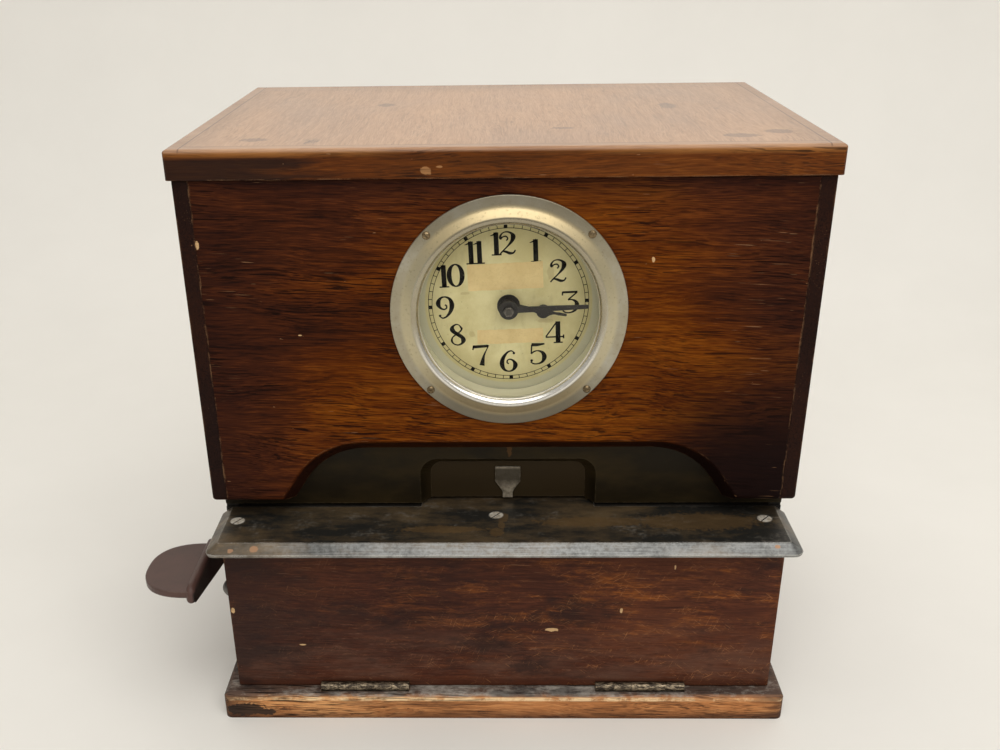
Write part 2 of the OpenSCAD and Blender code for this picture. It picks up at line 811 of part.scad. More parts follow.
module lid() color("#7a3a1c")
    difference() {
        rounded_board(
            [-hood_x - lid_over, y_front - lid_over, z_lid],
            [hood_x + lid_over, y_back, z_lid + lid_t], lid_round, lid_corner
        );
        hinge_row(lid_axis, 1)
            moving_room();
    }
module lid_hinge_fixed() color("tan")
    hinge_row(lid_axis, 1)
        leaf_fixed();
module lid_hinge_moving() color("tan")
    hinge_row(lid_axis, 1)
        leaf_moving();
module lid_hinge_pins() color("silver")
    hinge_row(lid_axis, 1)
        leaf_pin();

// Bezel: a flange, a rolled bead and a sleeve through the panel; heights run forwards
bezel_screw_dirs = [45, 135, 225, 315];
module front_of_panel()
    translate([mech_x, y_front, z_dial])
        rotate([90, 0, 0])
            children();
function flange(u) = [
    bezel_r - 0.5 - u * (bezel_r - 0.5 - bead_foot.x),
    flange_t + (bead_foot.y - flange_t) * pow(u, 1.5)
];
module bezel() color("#9a978c")
    front_of_panel()
        difference() {
            rotate_extrude($fn = 96)
                polygon(concat(
                    [[bezel_r, 0], [bezel_r, flange_t - 0.4]],
                    [for (i = [0:10]) flange(i / 10)],
                    [for (i = [1:10]) bead_c + bead_r * [cos(70 + 10 * i), sin(70 + 10 * i)]],
                    [[lip_r, glass_h + 0.2], [seat_r, glass_h + 0.2], [seat_r, -sleeve_d]],
                    [[sleeve_r, -sleeve_d], [sleeve_r, 0]]
                ));
            for (a = bezel_screw_dirs)
                translate(bezel_screw_ring * [cos(a), sin(a)]) {
                    translate([0, 0, -1])
                        cylinder(h = flange_t + 2, r = 1.3);
                    translate([0, 0, flange_t])
                        cylinder(h = bead_r, r = bezel_screw_r + 0.3);
                }
        }
module bezel_screws() color("lightgray")
    front_of_panel()
        for (a = bezel_screw_dirs)
            translate(bezel_screw_ring * [cos(a), sin(a)])
                difference() {
                    rotate_extrude($fn = 24)
                        polygon(concat(
                            [[0, -7], [1.2, -7], [1.2, flange_t]],
                            [for (i = [0:5]) [bezel_screw_r * cos(18 * i), flange_t + 1.5 * sin(18 * i)]]
                        ));
                    rotate([0, 0, a * 2.3])
                        translate([-bezel_screw_r, -0.3, flange_t + 0.7])
                            cube([2 * bezel_screw_r, 0.6, 2]);
                }
function dome(r, h) = h + glass_dome * (1 - pow(r / glass_r, 2));
module glass() color("lightcyan", 0.3)
    front_of_panel()
        rotate_extrude($fn = 96)
            polygon(concat(
                [for (i = [0:10]) let (r = glass_r * i / 10) [r, dome(r, glass_h)]],
                [for (i = [10:-1:0]) let (r = glass_r * i / 10) [r, dome(r, glass_h - glass_t)]]
            ));
module glass_ring() color("#8d8a80")
    front_of_panel()
        translate([0, 0, glass_h - glass_t - 2.2])
            difference() {
                cylinder(h = 2, r = seat_r - 0.1, $fn = 96);
                translate([0, 0, -1])
                    cylinder(h = 4, r = seat_r - 2, $fn = 96);
            }

// Dial and hands
feet_at = [for (a = [45:90:315]) 52 * [cos(a), sin(a)]];
module dial() color("#d9d3a8") {
    difference() {
        rod_y(y_dial, dial_t, dial_r, $fn = 96);
        rod_y(y_dial - 1, dial_t + 2, pipe_r + 0.6);
    }
    for (p = feet_at)
        rod_y(y_dial + dial_t - eps, y_plate - y_dial - dial_t + eps, 3, p);
}
module minute_hand() color("#1c1c1a")
    slice(y_minute_hand, hand_t)
        rotate(minute_turn)
            difference() {
                union() {
                    circle(r = 5.9);
                    polygon([[0, -1.9], [minute_l * 0.6, -1.6], [minute_l - 0.6, -1.2], [minute_l, -0.6],
                             [minute_l, 0.6], [minute_l - 0.6, 1.2], [minute_l * 0.6, 1.6], [0, 1.9]]);
                }
                circle(r = cannon_r + 0.02);
            }
spade_w = 4.4;
boss_r = 7.2;
spade_edge = concat(
    arc([0, 0], boss_r, 180, 15, 11),
    [[hour_l - 20.5, 1.4]],
    arc([hour_l - 15, 0], spade_w, 155, 48, 7),
    arc([hour_l - 7, spade_w + 2.8], 6.5, 220, 285, 6),
    [[hour_l - 0.4, 0.7]]
);
module hour_hand() color("#1c1c1a")
    slice(y_hour_hand, hand_t)
        rotate(hour_turn)
            difference() {
                polygon(concat(
                    spade_edge,
                    [[hour_l, 0]],
                    [for (i = [len(spade_edge) - 1:-1:1]) [spade_edge[i].x, -spade_edge[i].y]]
                ));
                circle(r = pipe_r + 0.02);
            }
module hand_nut() color("dimgray")
    difference() {
        slice(y_nut, 2.6)
            circle(r = 3.2, $fn = 6);
        rod_y(y_nut - 1, 5, arbor_r + 0.02);
    }

// Movement plates: legs beside the card's path, feet on the bed
leg_w = 11;
notch_half = plate_half - leg_w;
pillar_at = [[-58, 54], [58, 54], [-58, -52], [58, -52]];
pillar_r = 4;
arbor_at = [[0, 0], transfer_at, type_at, [-spool_at.x, spool_at.y], spool_at];
module movement_plate(y, foot) {
    z0 = z_bed - z_dial;
    difference() {
        union() {
            slice(y, plate_t)
                polygon([
                    [-plate_half, z0], [-notch_half, z0], [-notch_half, z0 + 2.4], [notch_half, z0 + 2.4],
                    [notch_half, z0], [plate_half, z0], [plate_half, plate_up - 8],
                    [plate_half - 8, plate_up], [8 - plate_half, plate_up], [-plate_half, plate_up - 8]
                ]);
            for (s = [-1, 1])
                translate([mech_x + s * (plate_half - leg_w / 2) - leg_w / 2, min(y, y + foot), z_bed])
                    cube([leg_w, abs(foot) + plate_t * (foot > 0 ? 1 : 1), 3]);
        }
        translate([mech_x - notch_half, y - 1, z_bed - 1])
            cube([2 * notch_half, plate_t + 2, card_room + 1.4]);
        for (p = arbor_at)
            rod_y(y - 1, plate_t + 2, arbor_r + run, p);
        rod_y(y - 1, plate_t + 2, 1.5 + run, armature_at);
    }
}
module front_plate() color("#b08d3c") {
    movement_plate(y_plate, 10);
    rod_y(y_motion_pinion - 0.8, y_plate - y_motion_pinion + 0.8 + eps, 1.5, motion_at);
}
module back_plate() color("#b08d3c") {
    movement_plate(y_rear, 10);
    rod_y(y_reduction_pinion - 0.8, y_rear - y_reduction_pinion + 0.8 + eps, 1.5, reduction_at);
}
module plate_pillars() color("#a8873a") {
    for (p = pillar_at)
        rod_y(y_inner, plate_space, pillar_r, p);
    for (s = [-1, 1])
        rod_y(y_inner, plate_space, guide_r, [s * guide_x, guide_z - z_dial]);
}

// Centre wheel: the arbor with the stepped ratchet and the wheel that drives the type wheels
module centre_wheel() color("#b5913f") {
    rod_y(y_nut - 0.8, y_rear + plate_t + 1 - y_nut + 0.8, arbor_r);
    slice(y_gear, gear_t)
        crossed(drive_n * transfer_m / 2, 5)
            polygon(wheel(drive_n, transfer_m, minute_turn));
    rod_y(y_gear + gear_t, 5, 5);
    slice(y_ratchet, 2.5)
        crossed(ratchet_r, 5)
            polygon([
                for (i = [0:ratchet_n - 1]) for (p = [[0, 0], [0.85, -1.6]])
                    let (a = 360 / ratchet_n * (i + p.x))
                    (ratchet_r + p.y) * [cos(a), sin(a)]
            ]);
    rod_y(y_ratchet - 4, 4, 5);
}
y_ratchet = y_rear - 10;

// Crossings: five openings between the hub and the rim of a wheel
module crossed(r, hub) {
    difference() {
        children();
        difference() {
            circle(r = r * 0.8);
            circle(r = hub + 1.5);
            for (i = [0:4])
                rotate(72 * i)
                    translate([0, -1.4])
                        square([r, 2.8]);
        }
    }
}
module cannon_pinion() color("silver")
    difference() {
        union() {
            slice(y_cannon, 3.5)
                polygon(wheel(cannon_n, cannon_m, 0));
            rod_y(y_minute_hand - 0.3, y_cannon - y_minute_hand + 0.3 + eps, cannon_r);
        }
        rod_y(y_minute_hand - 2, y_plate - y_minute_hand + 2, arbor_r + 0.02);
    }
motion_turn = mesh_turn(cannon_n, 0, motion_n, motion_dir);
module minute_wheel() color("#b5913f")
    difference() {
        union() {
            slice(y_motion, motion_t, motion_at)
                polygon(wheel(motion_n, cannon_m, motion_turn));
            slice(y_motion_pinion, y_motion - y_motion_pinion + eps, motion_at)
                polygon(wheel(motion_pinion_n, hour_m, 0));
        }
        rod_y(y_motion_pinion - 1, y_plate - y_motion_pinion, 1.5 + run, motion_at);
    }
module hour_wheel() color("#b5913f")
    difference() {
        union() {
            slice(y_hour, motion_t)
                polygon(wheel(hour_n, hour_m, mesh_turn(motion_pinion_n, 0, hour_n, motion_dir + 180)));
            rod_y(y_hour_hand - 0.3, y_hour - y_hour_hand + 0.3 + eps, pipe_r);
        }
        rod_y(y_hour_hand - 2, y_plate - y_hour_hand, cannon_r + 0.08);
    }
module transfer_wheel() color("#b5913f") {
    slice(y_gear, gear_t, transfer_at)
        crossed(transfer_n * transfer_m / 2, 5)
            polygon(wheel(transfer_n, transfer_m, mesh_turn(drive_n, minute_turn, transfer_n, -90)));
    rod_y(y_plate, y_rear + plate_t - y_plate, arbor_r, transfer_at);
    rod_y(y_gear + gear_t, 5, 5, transfer_at);
}

// Stepping drive: two coils on a yoke between the plates, and an armature with a pawl
yoke_t = 5;
module drive_magnet() color("#7a2a1a") {
    translate([mech_x + magnet_x[0] - 8, y_inner, z_dial + coil_z[1]])
        cube([plate_half - magnet_x[0] + 6, plate_space, yoke_t]);
    for (x = magnet_x)
        translate([mech_x + x, magnet_y, z_dial + coil_z[0]]) {
            cylinder(h = coil_z[1] - coil_z[0] + eps, r = coil_r);
            translate([0, 0, -3])
                cylinder(h = 4, r = 3);
        }
}
module armature() color("dimgray") {
    slice(magnet_y - 7, y_ratchet + 2.5 - magnet_y + 7)
        polygon([
            armature_at + [-armature_l, -2], armature_at + [4, -2],
            armature_at + [4, 2], armature_at + [-armature_l, 2]
        ]);
    slice(y_ratchet, 2.5)
        polygon([
            armature_at + [-pawl_l, -1.2], armature_at + [1 - armature_l, -2],
            armature_at + [1 - armature_l, 2], armature_at + [-pawl_l, 0.2]
        ]);
    rod_y(y_plate, y_rear + plate_t - y_plate, 1.5, armature_at);
}

// Type wheels: raised characters round a rim, left as plain blocks
module type_ring(y) {
    slice(y, type_t, type_at)
        difference() {
            polygon([
                for (i = [0:type_n - 1]) for (p = [[-0.32, 0], [-0.22, 1], [0.22, 1], [0.32, 0]])
                    let (a = 360 / type_n * (i + p.x))
                    (type_r - type_rise + type_rise * p.y) * [cos(a), sin(a)]
            ]);
            difference() {
                circle(r = type_r - 4.5);
                circle(r = 7);
                for (i = [0:3])
                    rotate(90 * i)
                        translate([0, -1.6])
                            square([type_r, 3.2]);
            }
        }
}
type_turn = mesh_turn(transfer_n, mesh_turn(drive_n, minute_turn, transfer_n, -90), drive_n, -90);
module type_arbor() color("silver") {
    rod_y(y_plate, y_rear + plate_t - y_plate, arbor_r, type_at);
    slice(y_gear, gear_t, type_at)
        polygon(wheel(drive_n, transfer_m, type_turn));
    slice(y_reduction - 0.5, 3.5, type_at)
        polygon(wheel(cannon_n, cannon_m, 0));
}
module minute_type_wheel() color("#8f8f86")
    difference() {
        type_ring(y_minute_type);
        rod_y(y_minute_type - 1, type_t + 2, arbor_r + 0.02, type_at);
    }
reduction_turn = mesh_turn(cannon_n, 0, motion_n, reduction_dir);
module hour_type_wheel() color("#8f8f86")
    difference() {
        union() {
            type_ring(y_hour_type);
            rod_y(y_hour_type, y_hour_gear - y_hour_type + motion_t, 6, type_at);
            slice(y_hour_gear, motion_t, type_at)
                polygon(wheel(hour_n, hour_m, mesh_turn(motion_pinion_n, 0, hour_n, reduction_dir + 180)));
        }
        rod_y(y_hour_type - 1, y_rear - y_hour_type, arbor_r + 0.08, type_at);
    }
module reduction_wheel() color("#b5913f")
    difference() {
        union() {
            slice(y_reduction, motion_t, reduction_at)
                polygon(wheel(motion_n, cannon_m, reduction_turn));
            slice(y_reduction_pinion, y_reduction - y_reduction_pinion + eps, reduction_at)
                polygon(wheel(motion_pinion_n, hour_m, 0));
        }
        rod_y(y_reduction_pinion - 1, y_rear - y_reduction_pinion, 1.5 + run, reduction_at);
    }

// Ribbon spools and the ribbon between them
module spool(s) {
    at = [s * spool_at.x, spool_at.y];
    rod_y(y_plate, y_rear + plate_t - y_plate, arbor_r, at);
    rod_y(y_spool, 1.2, spool_r, at);
    rod_y(y_spool, spool_l, wound_r, at);
    rod_y(y_spool + spool_l - 1.2, 1.2, spool_r, at);
}
module spool_left() color("#3a3a3a")
    spool(-1);
module spool_right() color("#3a3a3a")
    spool(1);
module ink_ribbon() color("#1b1830") {
    p = [guide_x, z_ribbon - z_dial];
    d = spool_at - p;
    reach = norm(d);
    r = wound_r + 0.4;
    a = atan2(d.y, d.x) - asin(r / reach);
    q = p + sqrt(reach * reach - r * r) * [cos(a), sin(a)];
    up = ribbon_t * [-sin(a), cos(a)];
    slice(y_ribbon, ribbon_w)
        polygon([
            [-q.x, q.y], [-p.x, p.y], p, q,
            q + up, p + [-up.y * 0.2, ribbon_t], [-p.x + up.y * 0.2, p.y + ribbon_t], [-q.x - up.x, q.y + up.y]
        ]);
}

// Print lever: pad, rib, arm and hub, on a shaft that carries the crank and the spring's arm
module print_lever() color("#3b2f2a") {
    tail = [shaft_y, shaft_z];
    rib_at = [pad_front + rib_end, rib_top - rib_end];
    side(arm_x - arm_t, arm_t)
        difference() {
            union() {
                polygon(concat(
                    [[pad_front + rib_r, rib_low - rib_r + 0.4]],
                    arc(rib_at, rib_end - rib_r, 180, 90, 6),
                    [[pad_back, rib_top - rib_r]],
                    [tail + [-4, hub_r - 0.8], tail + [-2, -hub_r + 0.2]]
                ));
                translate(tail)
                    circle(r = hub_r);
            }
            translate(tail)
                circle(r = shaft_r + 0.02);
        }
    difference() {
        rod_x(arm_x - eps, arm_gap - 3.5, hub_r - 1.5, tail.x, tail.y);
        rod_x(arm_x - 1, arm_gap, shaft_r + 0.02, tail.x, tail.y);
    }
    translate([arm_x - rib_r, 0, 0]) {
        translate([0, rib_at.x, rib_top - rib_r])
            rotate([-90, 0, 0])
                cylinder(h = pad_l - rib_end, r = rib_r);
        translate([0, rib_at.x, rib_at.y])
            rotate([90, 0, 0])
                rotate([0, -90, 0])
                    rotate_extrude(angle = 90)
                        translate([rib_end - rib_r, 0])
                            circle(r = rib_r);
        translate([0, pad_front + rib_r, rib_low]) {
            cylinder(h = rib_at.y - rib_low, r = rib_r);
            sphere(r = rib_r);
        }
    }
    half = (pad_l - pad_set) / 2;
    translate([0, 0, pad_top - pad_t])
        linear_extrude(pad_t)
            translate([arm_x - arm_t + 1, pad_back - half])
                polygon(concat(
                    [[0, half], [-0.5, half]],
                    [for (i = [1:23]) let (a = 90 - 7.5 * i)
                        [-pad_w * pow(cos(a), 0.8), half * sign(sin(a)) * pow(abs(sin(a)), 0.8)]],
                    [[-0.5, -half], [0, -half]]
                ));
}
bracket_x = mech_x + 22;
bracket_t = 5;
module lever_shaft() color("silver") {
    rod_x(arm_x - arm_t - 1, bracket_x + bracket_t + 2 - arm_x + arm_t + 1, shaft_r, shaft_y, shaft_z);
    side(spring_x - 8, 5) {
        translate([shaft_y, shaft_z])
            circle(r = shaft_r + 3);
        polygon([
            [shaft_y, shaft_z - shaft_r - 2], [spring_y - 3, shaft_z - 3],
            [spring_y - 3, shaft_z + 3], [shaft_y, shaft_z + shaft_r + 2]
        ]);
    }
    rod_x(spring_x - 4, 8, spring_pin_r, spring_y, shaft_z);
}
module lever_bush() color("#a8873a")
    difference() {
        union() {
            rod_x(-case_x - 2.5, 2.5 + board_t, bush_r, shaft_y, shaft_z);
            rod_x(-case_x - 2.5, 2.5, flange_r, shaft_y, shaft_z);
        }
        rod_x(-case_x - 4, board_t + 8, shaft_r + run, shaft_y, shaft_z);
    }
module shaft_bracket() color("#55524a")
    side(bracket_x, bracket_t)
        difference() {
            polygon(concat(
                arc([shaft_y, shaft_z], hub_r, 170, 370, 20),
                [[shaft_y + 22, z_case], [shaft_y - 22, z_case]]
            ));
            translate([shaft_y, shaft_z])
                circle(r = shaft_r + run);
        }
crank_x = mech_x + hammer_half + 1.5;
module striker_crank() color("dimgray") {
    side(crank_x, 6)
        difference() {
            union() {
                translate([shaft_y, shaft_z])
                    circle(r = shaft_r + 4);
                polygon([
                    [shaft_y - 5, shaft_z + 5], [roller_y - 3, roller_z + 3], [roller_y + 3, roller_z - 3],
                    [shaft_y + 5, shaft_z - 5]
                ]);
                translate([roller_y, roller_z])
                    circle(r = roller_r);
            }
            translate([shaft_y, shaft_z])
                circle(r = shaft_r + 0.02);
        }
    rod_x(mech_x - hammer_half, 2 * hammer_half + 2, roller_r, roller_y, roller_z);
}

// Return spring: one coil drawn in to the axis at both ends
spring_z0 = shaft_z + spring_pin_r + 0.3;
spring_z1 = z_case - spring_lug - 0.3;
spring_steps = spring_turns * 8;
spring_end = 2 * spring_wire;
function spring_point(i) = let (
        t = i / spring_steps,
        grow = min(1, t * spring_turns / 0.75, (1 - t) * spring_turns / 0.75),
        a = 45 * i
    ) [
        spring_r * grow * cos(a),
        spring_r * grow * sin(a),
        spring_z0 + spring_end + t * (spring_z1 - spring_z0 - 2 * spring_end)
    ];
spring_path = concat(
    [[0, 0, spring_z0]],
    [for (i = [0:spring_steps]) spring_point(i)],
    [[0, 0, spring_z1]]
);
function unit(v) = v / norm(v);
function along(path, i) = unit(path[min(i + 1, len(path) - 1)] - path[max(i - 1, 0)]);
module tube(path, r, n = 6) {
    rings = [
        for (i = [0:len(path) - 1])
            let (
                end = i == 0 || i == len(path) - 1,
                d = end ? [0, 0, 1] : along(path, i),
                u = unit(cross(d, [cos(45 * (i - 1)), sin(45 * (i - 1)), 0.01])),
                v = cross(d, u)
            )
            for (k = [0:n - 1]) path[i] + r * (cos(360 / n * k) * u + sin(360 / n * k) * v)
    ];
    last = n * (len(path) - 1);
    polyhedron(
        points = rings,
        faces = concat(
            [[for (k = [0:n - 1]) k]],
            [[for (k = [0:n - 1]) last + n - 1 - k]],
            [for (i = [0:len(path) - 2]) for (k = [0:n - 1]) [i * n + k, (i + 1) * n + k, i * n + (k + 1) % n]],
            [for (i = [0:len(path) - 2]) for (k = [0:n - 1])
                [i * n + (k + 1) % n, (i + 1) * n + k, (i + 1) * n + (k + 1) % n]]
        )
    );
}
spring_gap = min([
    for (i = [0:len(spring_path) - 7]) for (j = [i + 6:len(spring_path) - 1])
        norm(spring_path[i] - spring_path[j])
]) - 2 * spring_wire;
module return_spring() color("silver") {
    echo(spring_gap = spring_gap);
    translate([spring_x, spring_y, 0])
        tube(spring_path, spring_wire);
}

// Hammer: an arm on a pin, a post up to the window and a rubber platen
eye_r = hammer_pin_r + 5;
post_t = 7;
head_half = [12, 9];
head_t = 6;
head_z = platen_top - platen_t - head_t;
module hammer() color("#4a4a48") {
    side(mech_x - hammer_half, 2 * hammer_half)
        difference() {
            union() {
                translate([hammer_y, hammer_z])
                    circle(r = eye_r);
                polygon([
                    [hammer_y, hammer_under], [print_y - post_t / 2, hammer_under],
                    [print_y - post_t / 2, head_z + eps], [print_y + post_t / 2, head_z + eps],
                    [print_y + post_t / 2, hammer_under + 14], [print_y + post_t / 2 + 6, hammer_under + 8],
                    [hammer_y, hammer_under + 8]
                ]);
            }
            translate([hammer_y, hammer_z])
                circle(r = hammer_pin_r + run);
        }
    translate([mech_x - head_half.x, print_y - head_half.y, head_z])
        cube([2 * head_half.x, 2 * head_half.y, head_t]);
}
module platen() color("#1f1f1f")
    translate([mech_x - head_half.x, print_y - head_half.y, head_z + head_t])
        cube([2 * head_half.x, 2 * head_half.y, platen_t]);
cheek_t = 4;
module hammer_bracket() color("#55524a") {
    for (s = [0, 1])
        side(s ? mech_x + hammer_half + 0.6 : mech_x - hammer_half - 0.6 - cheek_t, cheek_t) {
            translate([hammer_y, hammer_z])
                circle(r = eye_r);
            polygon([
                [hammer_y - eye_r, hammer_z], [hammer_y - 14, z_case], [hammer_y + 14, z_case],
                [hammer_y + eye_r, hammer_z]
            ]);
        }
    rod_x(mech_x - hammer_half - cheek_t, 2 * (hammer_half + cheek_t), hammer_pin_r, hammer_y, hammer_z);
}

// Line inlet in the back and the terminal block inside
module inlet_bush() color("#30302e")
    translate([inlet_x, y_back, inlet_z])
        rotate([90, 0, 0])
            difference() {
                union() {
                    cylinder(h = back_t, r = inlet_r);
                    translate([0, 0, -2])
                        cylinder(h = 2, r = inlet_r + 3);
                }
                translate([0, 0, -4])
                    cylinder(h = back_t + 8, r = inlet_r - 2);
            }
block = [64, 20, 16];
module terminal_block() color("#3d2a20")
    translate([inlet_x + 40, y_back - back_t - block.y, inlet_z - block.z / 2])
        difference() {
            cube(block);
            for (i = [1:3])
                translate([block.x * i / 4 - 0.75, -1, -1])
                    cube([1.5, block.y / 2, block.z + 2]);
            for (i = [0:3])
                translate([block.x * (i + 0.5) / 4, -1, block.z / 2])
                    rotate([-90, 0, 0])
                        cylinder(h = 9, r = 2.5);
        }

plinth();
case_left();
case_right();
case_back();
front_flap();
flap_hinge_fixed();
flap_hinge_moving();
flap_hinge_pins();
lock_barrel();
lock_tongue();
lock_keeper();
bed();
card_tray();
tray_screws();
throat_plate();
pointer();
hood_front();
hood_left();
hood_right();
hood_back();
lid();
lid_hinge_fixed();
lid_hinge_moving();
lid_hinge_pins();
bezel();
bezel_screws();
glass();
glass_ring();
dial();
minute_hand();
hour_hand();
hand_nut();
front_plate();
back_plate();
plate_pillars();
centre_wheel();
cannon_pinion();
minute_wheel();
hour_wheel();
transfer_wheel();
drive_magnet();
armature();
type_arbor();
minute_type_wheel();
hour_type_wheel();
reduction_wheel();
spool_left();
spool_right();
ink_ribbon();
print_lever();
lever_shaft();
lever_bush();
shaft_bracket();
striker_crank();
return_spring();
hammer();
platen();
hammer_bracket();
inlet_bush();
terminal_block();
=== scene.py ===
import math

import bpy
import bmesh
from mathutils import Matrix, Vector


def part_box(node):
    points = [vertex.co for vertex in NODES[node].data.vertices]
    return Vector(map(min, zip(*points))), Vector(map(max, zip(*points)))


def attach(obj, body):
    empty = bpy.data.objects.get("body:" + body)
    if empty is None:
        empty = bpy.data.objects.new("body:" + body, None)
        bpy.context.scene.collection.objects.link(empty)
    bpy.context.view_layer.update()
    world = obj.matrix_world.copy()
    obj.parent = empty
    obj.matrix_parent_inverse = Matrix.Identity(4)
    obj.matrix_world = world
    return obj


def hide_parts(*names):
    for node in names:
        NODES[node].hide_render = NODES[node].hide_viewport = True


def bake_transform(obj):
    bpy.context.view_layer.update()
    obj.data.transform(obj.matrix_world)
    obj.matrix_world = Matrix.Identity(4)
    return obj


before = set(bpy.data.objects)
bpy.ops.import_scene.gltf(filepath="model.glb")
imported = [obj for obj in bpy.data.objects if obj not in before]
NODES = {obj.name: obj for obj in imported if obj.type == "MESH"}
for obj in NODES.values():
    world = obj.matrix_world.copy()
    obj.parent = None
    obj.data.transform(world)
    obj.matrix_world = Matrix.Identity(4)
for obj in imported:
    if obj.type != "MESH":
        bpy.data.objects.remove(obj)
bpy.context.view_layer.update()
MM = 0.001

# Camera
CAM_AT = Vector((-4.88, -775.07, 512.05)) * MM
CAM_PITCH = math.radians(26.36)
CAM_YAW = math.radians(-1.48)
CAM_ROLL = math.radians(-0.82)
SENSOR = 36.0
FOCAL = 1.0876
CAM_SHIFT = (0.0304, 0.0943)

ahead = Vector((
    math.sin(CAM_YAW) * math.cos(CAM_PITCH),
    math.cos(CAM_YAW) * math.cos(CAM_PITCH),
    -math.sin(CAM_PITCH),
))
flat_right = ahead.cross(Vector((0, 0, 1))).normalized()
flat_up = flat_right.cross(ahead)
right = math.cos(CAM_ROLL) * flat_right + math.sin(CAM_ROLL) * flat_up
up = -math.sin(CAM_ROLL) * flat_right + math.cos(CAM_ROLL) * flat_up
turn = Matrix((right, up, -ahead)).transposed().to_4x4()

cam_data = bpy.data.cameras.new("camera")
cam_data.sensor_width = SENSOR
cam_data.lens = SENSOR * FOCAL
cam_data.shift_x, cam_data.shift_y = CAM_SHIFT
cam_data.clip_start = 10 * MM
camera = bpy.data.objects.new("camera", cam_data)
camera.matrix_world = Matrix.Translation(CAM_AT) @ turn
bpy.context.scene.collection.objects.link(camera)
bpy.context.scene.camera = camera
bpy.context.scene.view_settings.view_transform = "Standard"


# Shader helpers
class Shader:
    """A material's node tree, with short calls for the nodes used here."""

    def __init__(self, name):
        self.mat = bpy.data.materials.new(name)
        self.mat.use_nodes = True
        self.tree = self.mat.node_tree
        self.tree.nodes.clear()
        self.place = self.node("TexCoord").outputs["Object"]

    def node(self, kind, props=(), **sockets):
        made = self.tree.nodes.new("ShaderNode" + kind)
        for key, value in dict(props).items():
            setattr(made, key, value)
        for key, value in sockets.items():
            socket = made.inputs[int(key[1:])] if key[1:].isdigit() else made.inputs[key.replace("_", " ")]
            self.put(socket, value)
        return made

    def put(self, socket, value):
        if isinstance(value, bpy.types.NodeSocket):
            self.tree.links.new(value, socket)
        elif socket.type == "RGBA" and len(value) == 3:
            socket.default_value = (*value, 1.0)
        else:
            socket.default_value = value

    def scaled(self, scale=1, rot=(0, 0, 0), loc=(0, 0, 0), vec=None):
        vec = vec or self.place
        scale = scale if isinstance(scale, tuple) else (scale,) * 3
        return self.node("Mapping", Vector=vec, Scale=scale, Rotation=rot, Location=loc).outputs[0]

    def noise(self, scale, detail, rough=0.55, **place):
        vec = self.scaled(scale, **place)
        return self.node("TexNoise", Vector=vec, Scale=1.0, Detail=detail, Roughness=rough).outputs[0]

    def cells(self, scale):
        return self.node("TexVoronoi", Vector=self.scaled(scale), Scale=1.0).outputs["Distance"]

    def wave(self, vec, scale):
        return self.node("TexWave", Vector=vec, Scale=scale).outputs[1]

    def math(self, op, first, *others):
        """The operation on the first value, or from value to value along all of them."""
        if not others:
            return self.node("Math", {"operation": op}, i0=first).outputs[0]
        for other in others:
            first = self.node("Math", {"operation": op}, i0=first, i1=other).outputs[0]
        return first

    def times(self, *values):
        return self.math("MULTIPLY", *values)

    def plus(self, *values):
        return self.math("ADD", *values)

    def less(self, value, taken):
        return self.math("SUBTRACT", value, taken)

    def most(self, *values):
        return self.math("MAXIMUM", *values)

    def abs(self, value):
        return self.math("ABSOLUTE", value)

    def length(self, a, b):
        return self.math("SQRT", self.plus(self.times(a, a), self.times(b, b)))

    def span(self, value, low, high, to_low=0.0, to_high=1.0, smooth=False):
        kind = {"interpolation_type": "SMOOTHSTEP" if smooth else "LINEAR"}
        ends = {"i0": value, "i1": low, "i2": high, "i3": to_low, "i4": to_high}
        return self.node("MapRange", kind, **ends).outputs[0]

    def past(self, value, face, low, high, to_low=0.0, to_high=1.0, smooth=False):
        """A span whose ends are measured in mm from a face."""
        return self.span(value, face + low * MM, face + high * MM, to_low, to_high, smooth)

    def ramp(self, value, tones, places=(0.0, 0.5, 1.0)):
        made = self.node("ValToRGB", Fac=value)
        ramp = made.color_ramp
        ramp.elements.new(0.5)
        for element, pos, tone in zip(ramp.elements, places, tones):
            element.position = pos
            element.color = (*tone, 1.0)
        return made.outputs[0]

    def mix(self, fac, a, b):
        return self.node("Mix", {"data_type": "RGBA"}, i0=fac, i6=a, i7=b).outputs[2]

    def tint(self, colour, tone, share, *masks):
        """The colour with a tone laid over it where the masks are, at a share."""
        return self.mix(self.times(*masks, share), colour, tone)

    def axes(self):
        return self.node("SeparateXYZ", Vector=self.place).outputs[:]

    def bevel(self, radius):
        """A normal that bends round the shape's edges, over a radius in mm."""
        return self.node("Bevel", {"samples": 4}, Radius=radius * MM).outputs[0]

    def edge(self, soft, low=0.02, high=0.25):
        """1 on the edges of the shape, 0 on its flats, from a bevelled normal."""
        hard = self.node("NewGeometry").outputs["Normal"]
        dot = self.node("VectorMath", {"operation": "DOT_PRODUCT"}, i0=soft, i1=hard).outputs["Value"]
        return self.span(self.less(1.0, dot), low, high)

    def marks(self, places, up="z"):
        """1 in small ragged marks on a board: (across, up, half width, half height) in mm."""
        x, y, z = self.axes()
        rag = self.span(self.noise(420, 3.0), 0.3, 0.7, 0.55, 1.6)
        found = 0.0
        for at_x, at_up, w, h in places:
            dx = self.math("DIVIDE", self.less(x, at_x * MM), w * MM)
            dz = self.math("DIVIDE", self.less(z if up == "z" else y, at_up * MM), h * MM)
            far = self.plus(self.times(dx, dx), self.times(dz, dz))
            found = self.most(self.span(self.times(far, rag), 0.7, 1.1, 1.0, 0.0), found)
        return found

    def bump(self, height, strength, distance=0.3, normal=None):
        """A normal that follows a height, over a distance in mm."""
        made = self.node("Bump", Height=height, Strength=strength, Distance=distance * MM)
        if normal is not None:
            self.put(made.inputs["Normal"], normal)
        return made.outputs[0]

    def finish(self, kind="BsdfPrincipled", **sockets):
        self.node("OutputMaterial", Surface=self.node(kind, **sockets).outputs[0])
        return self.mat


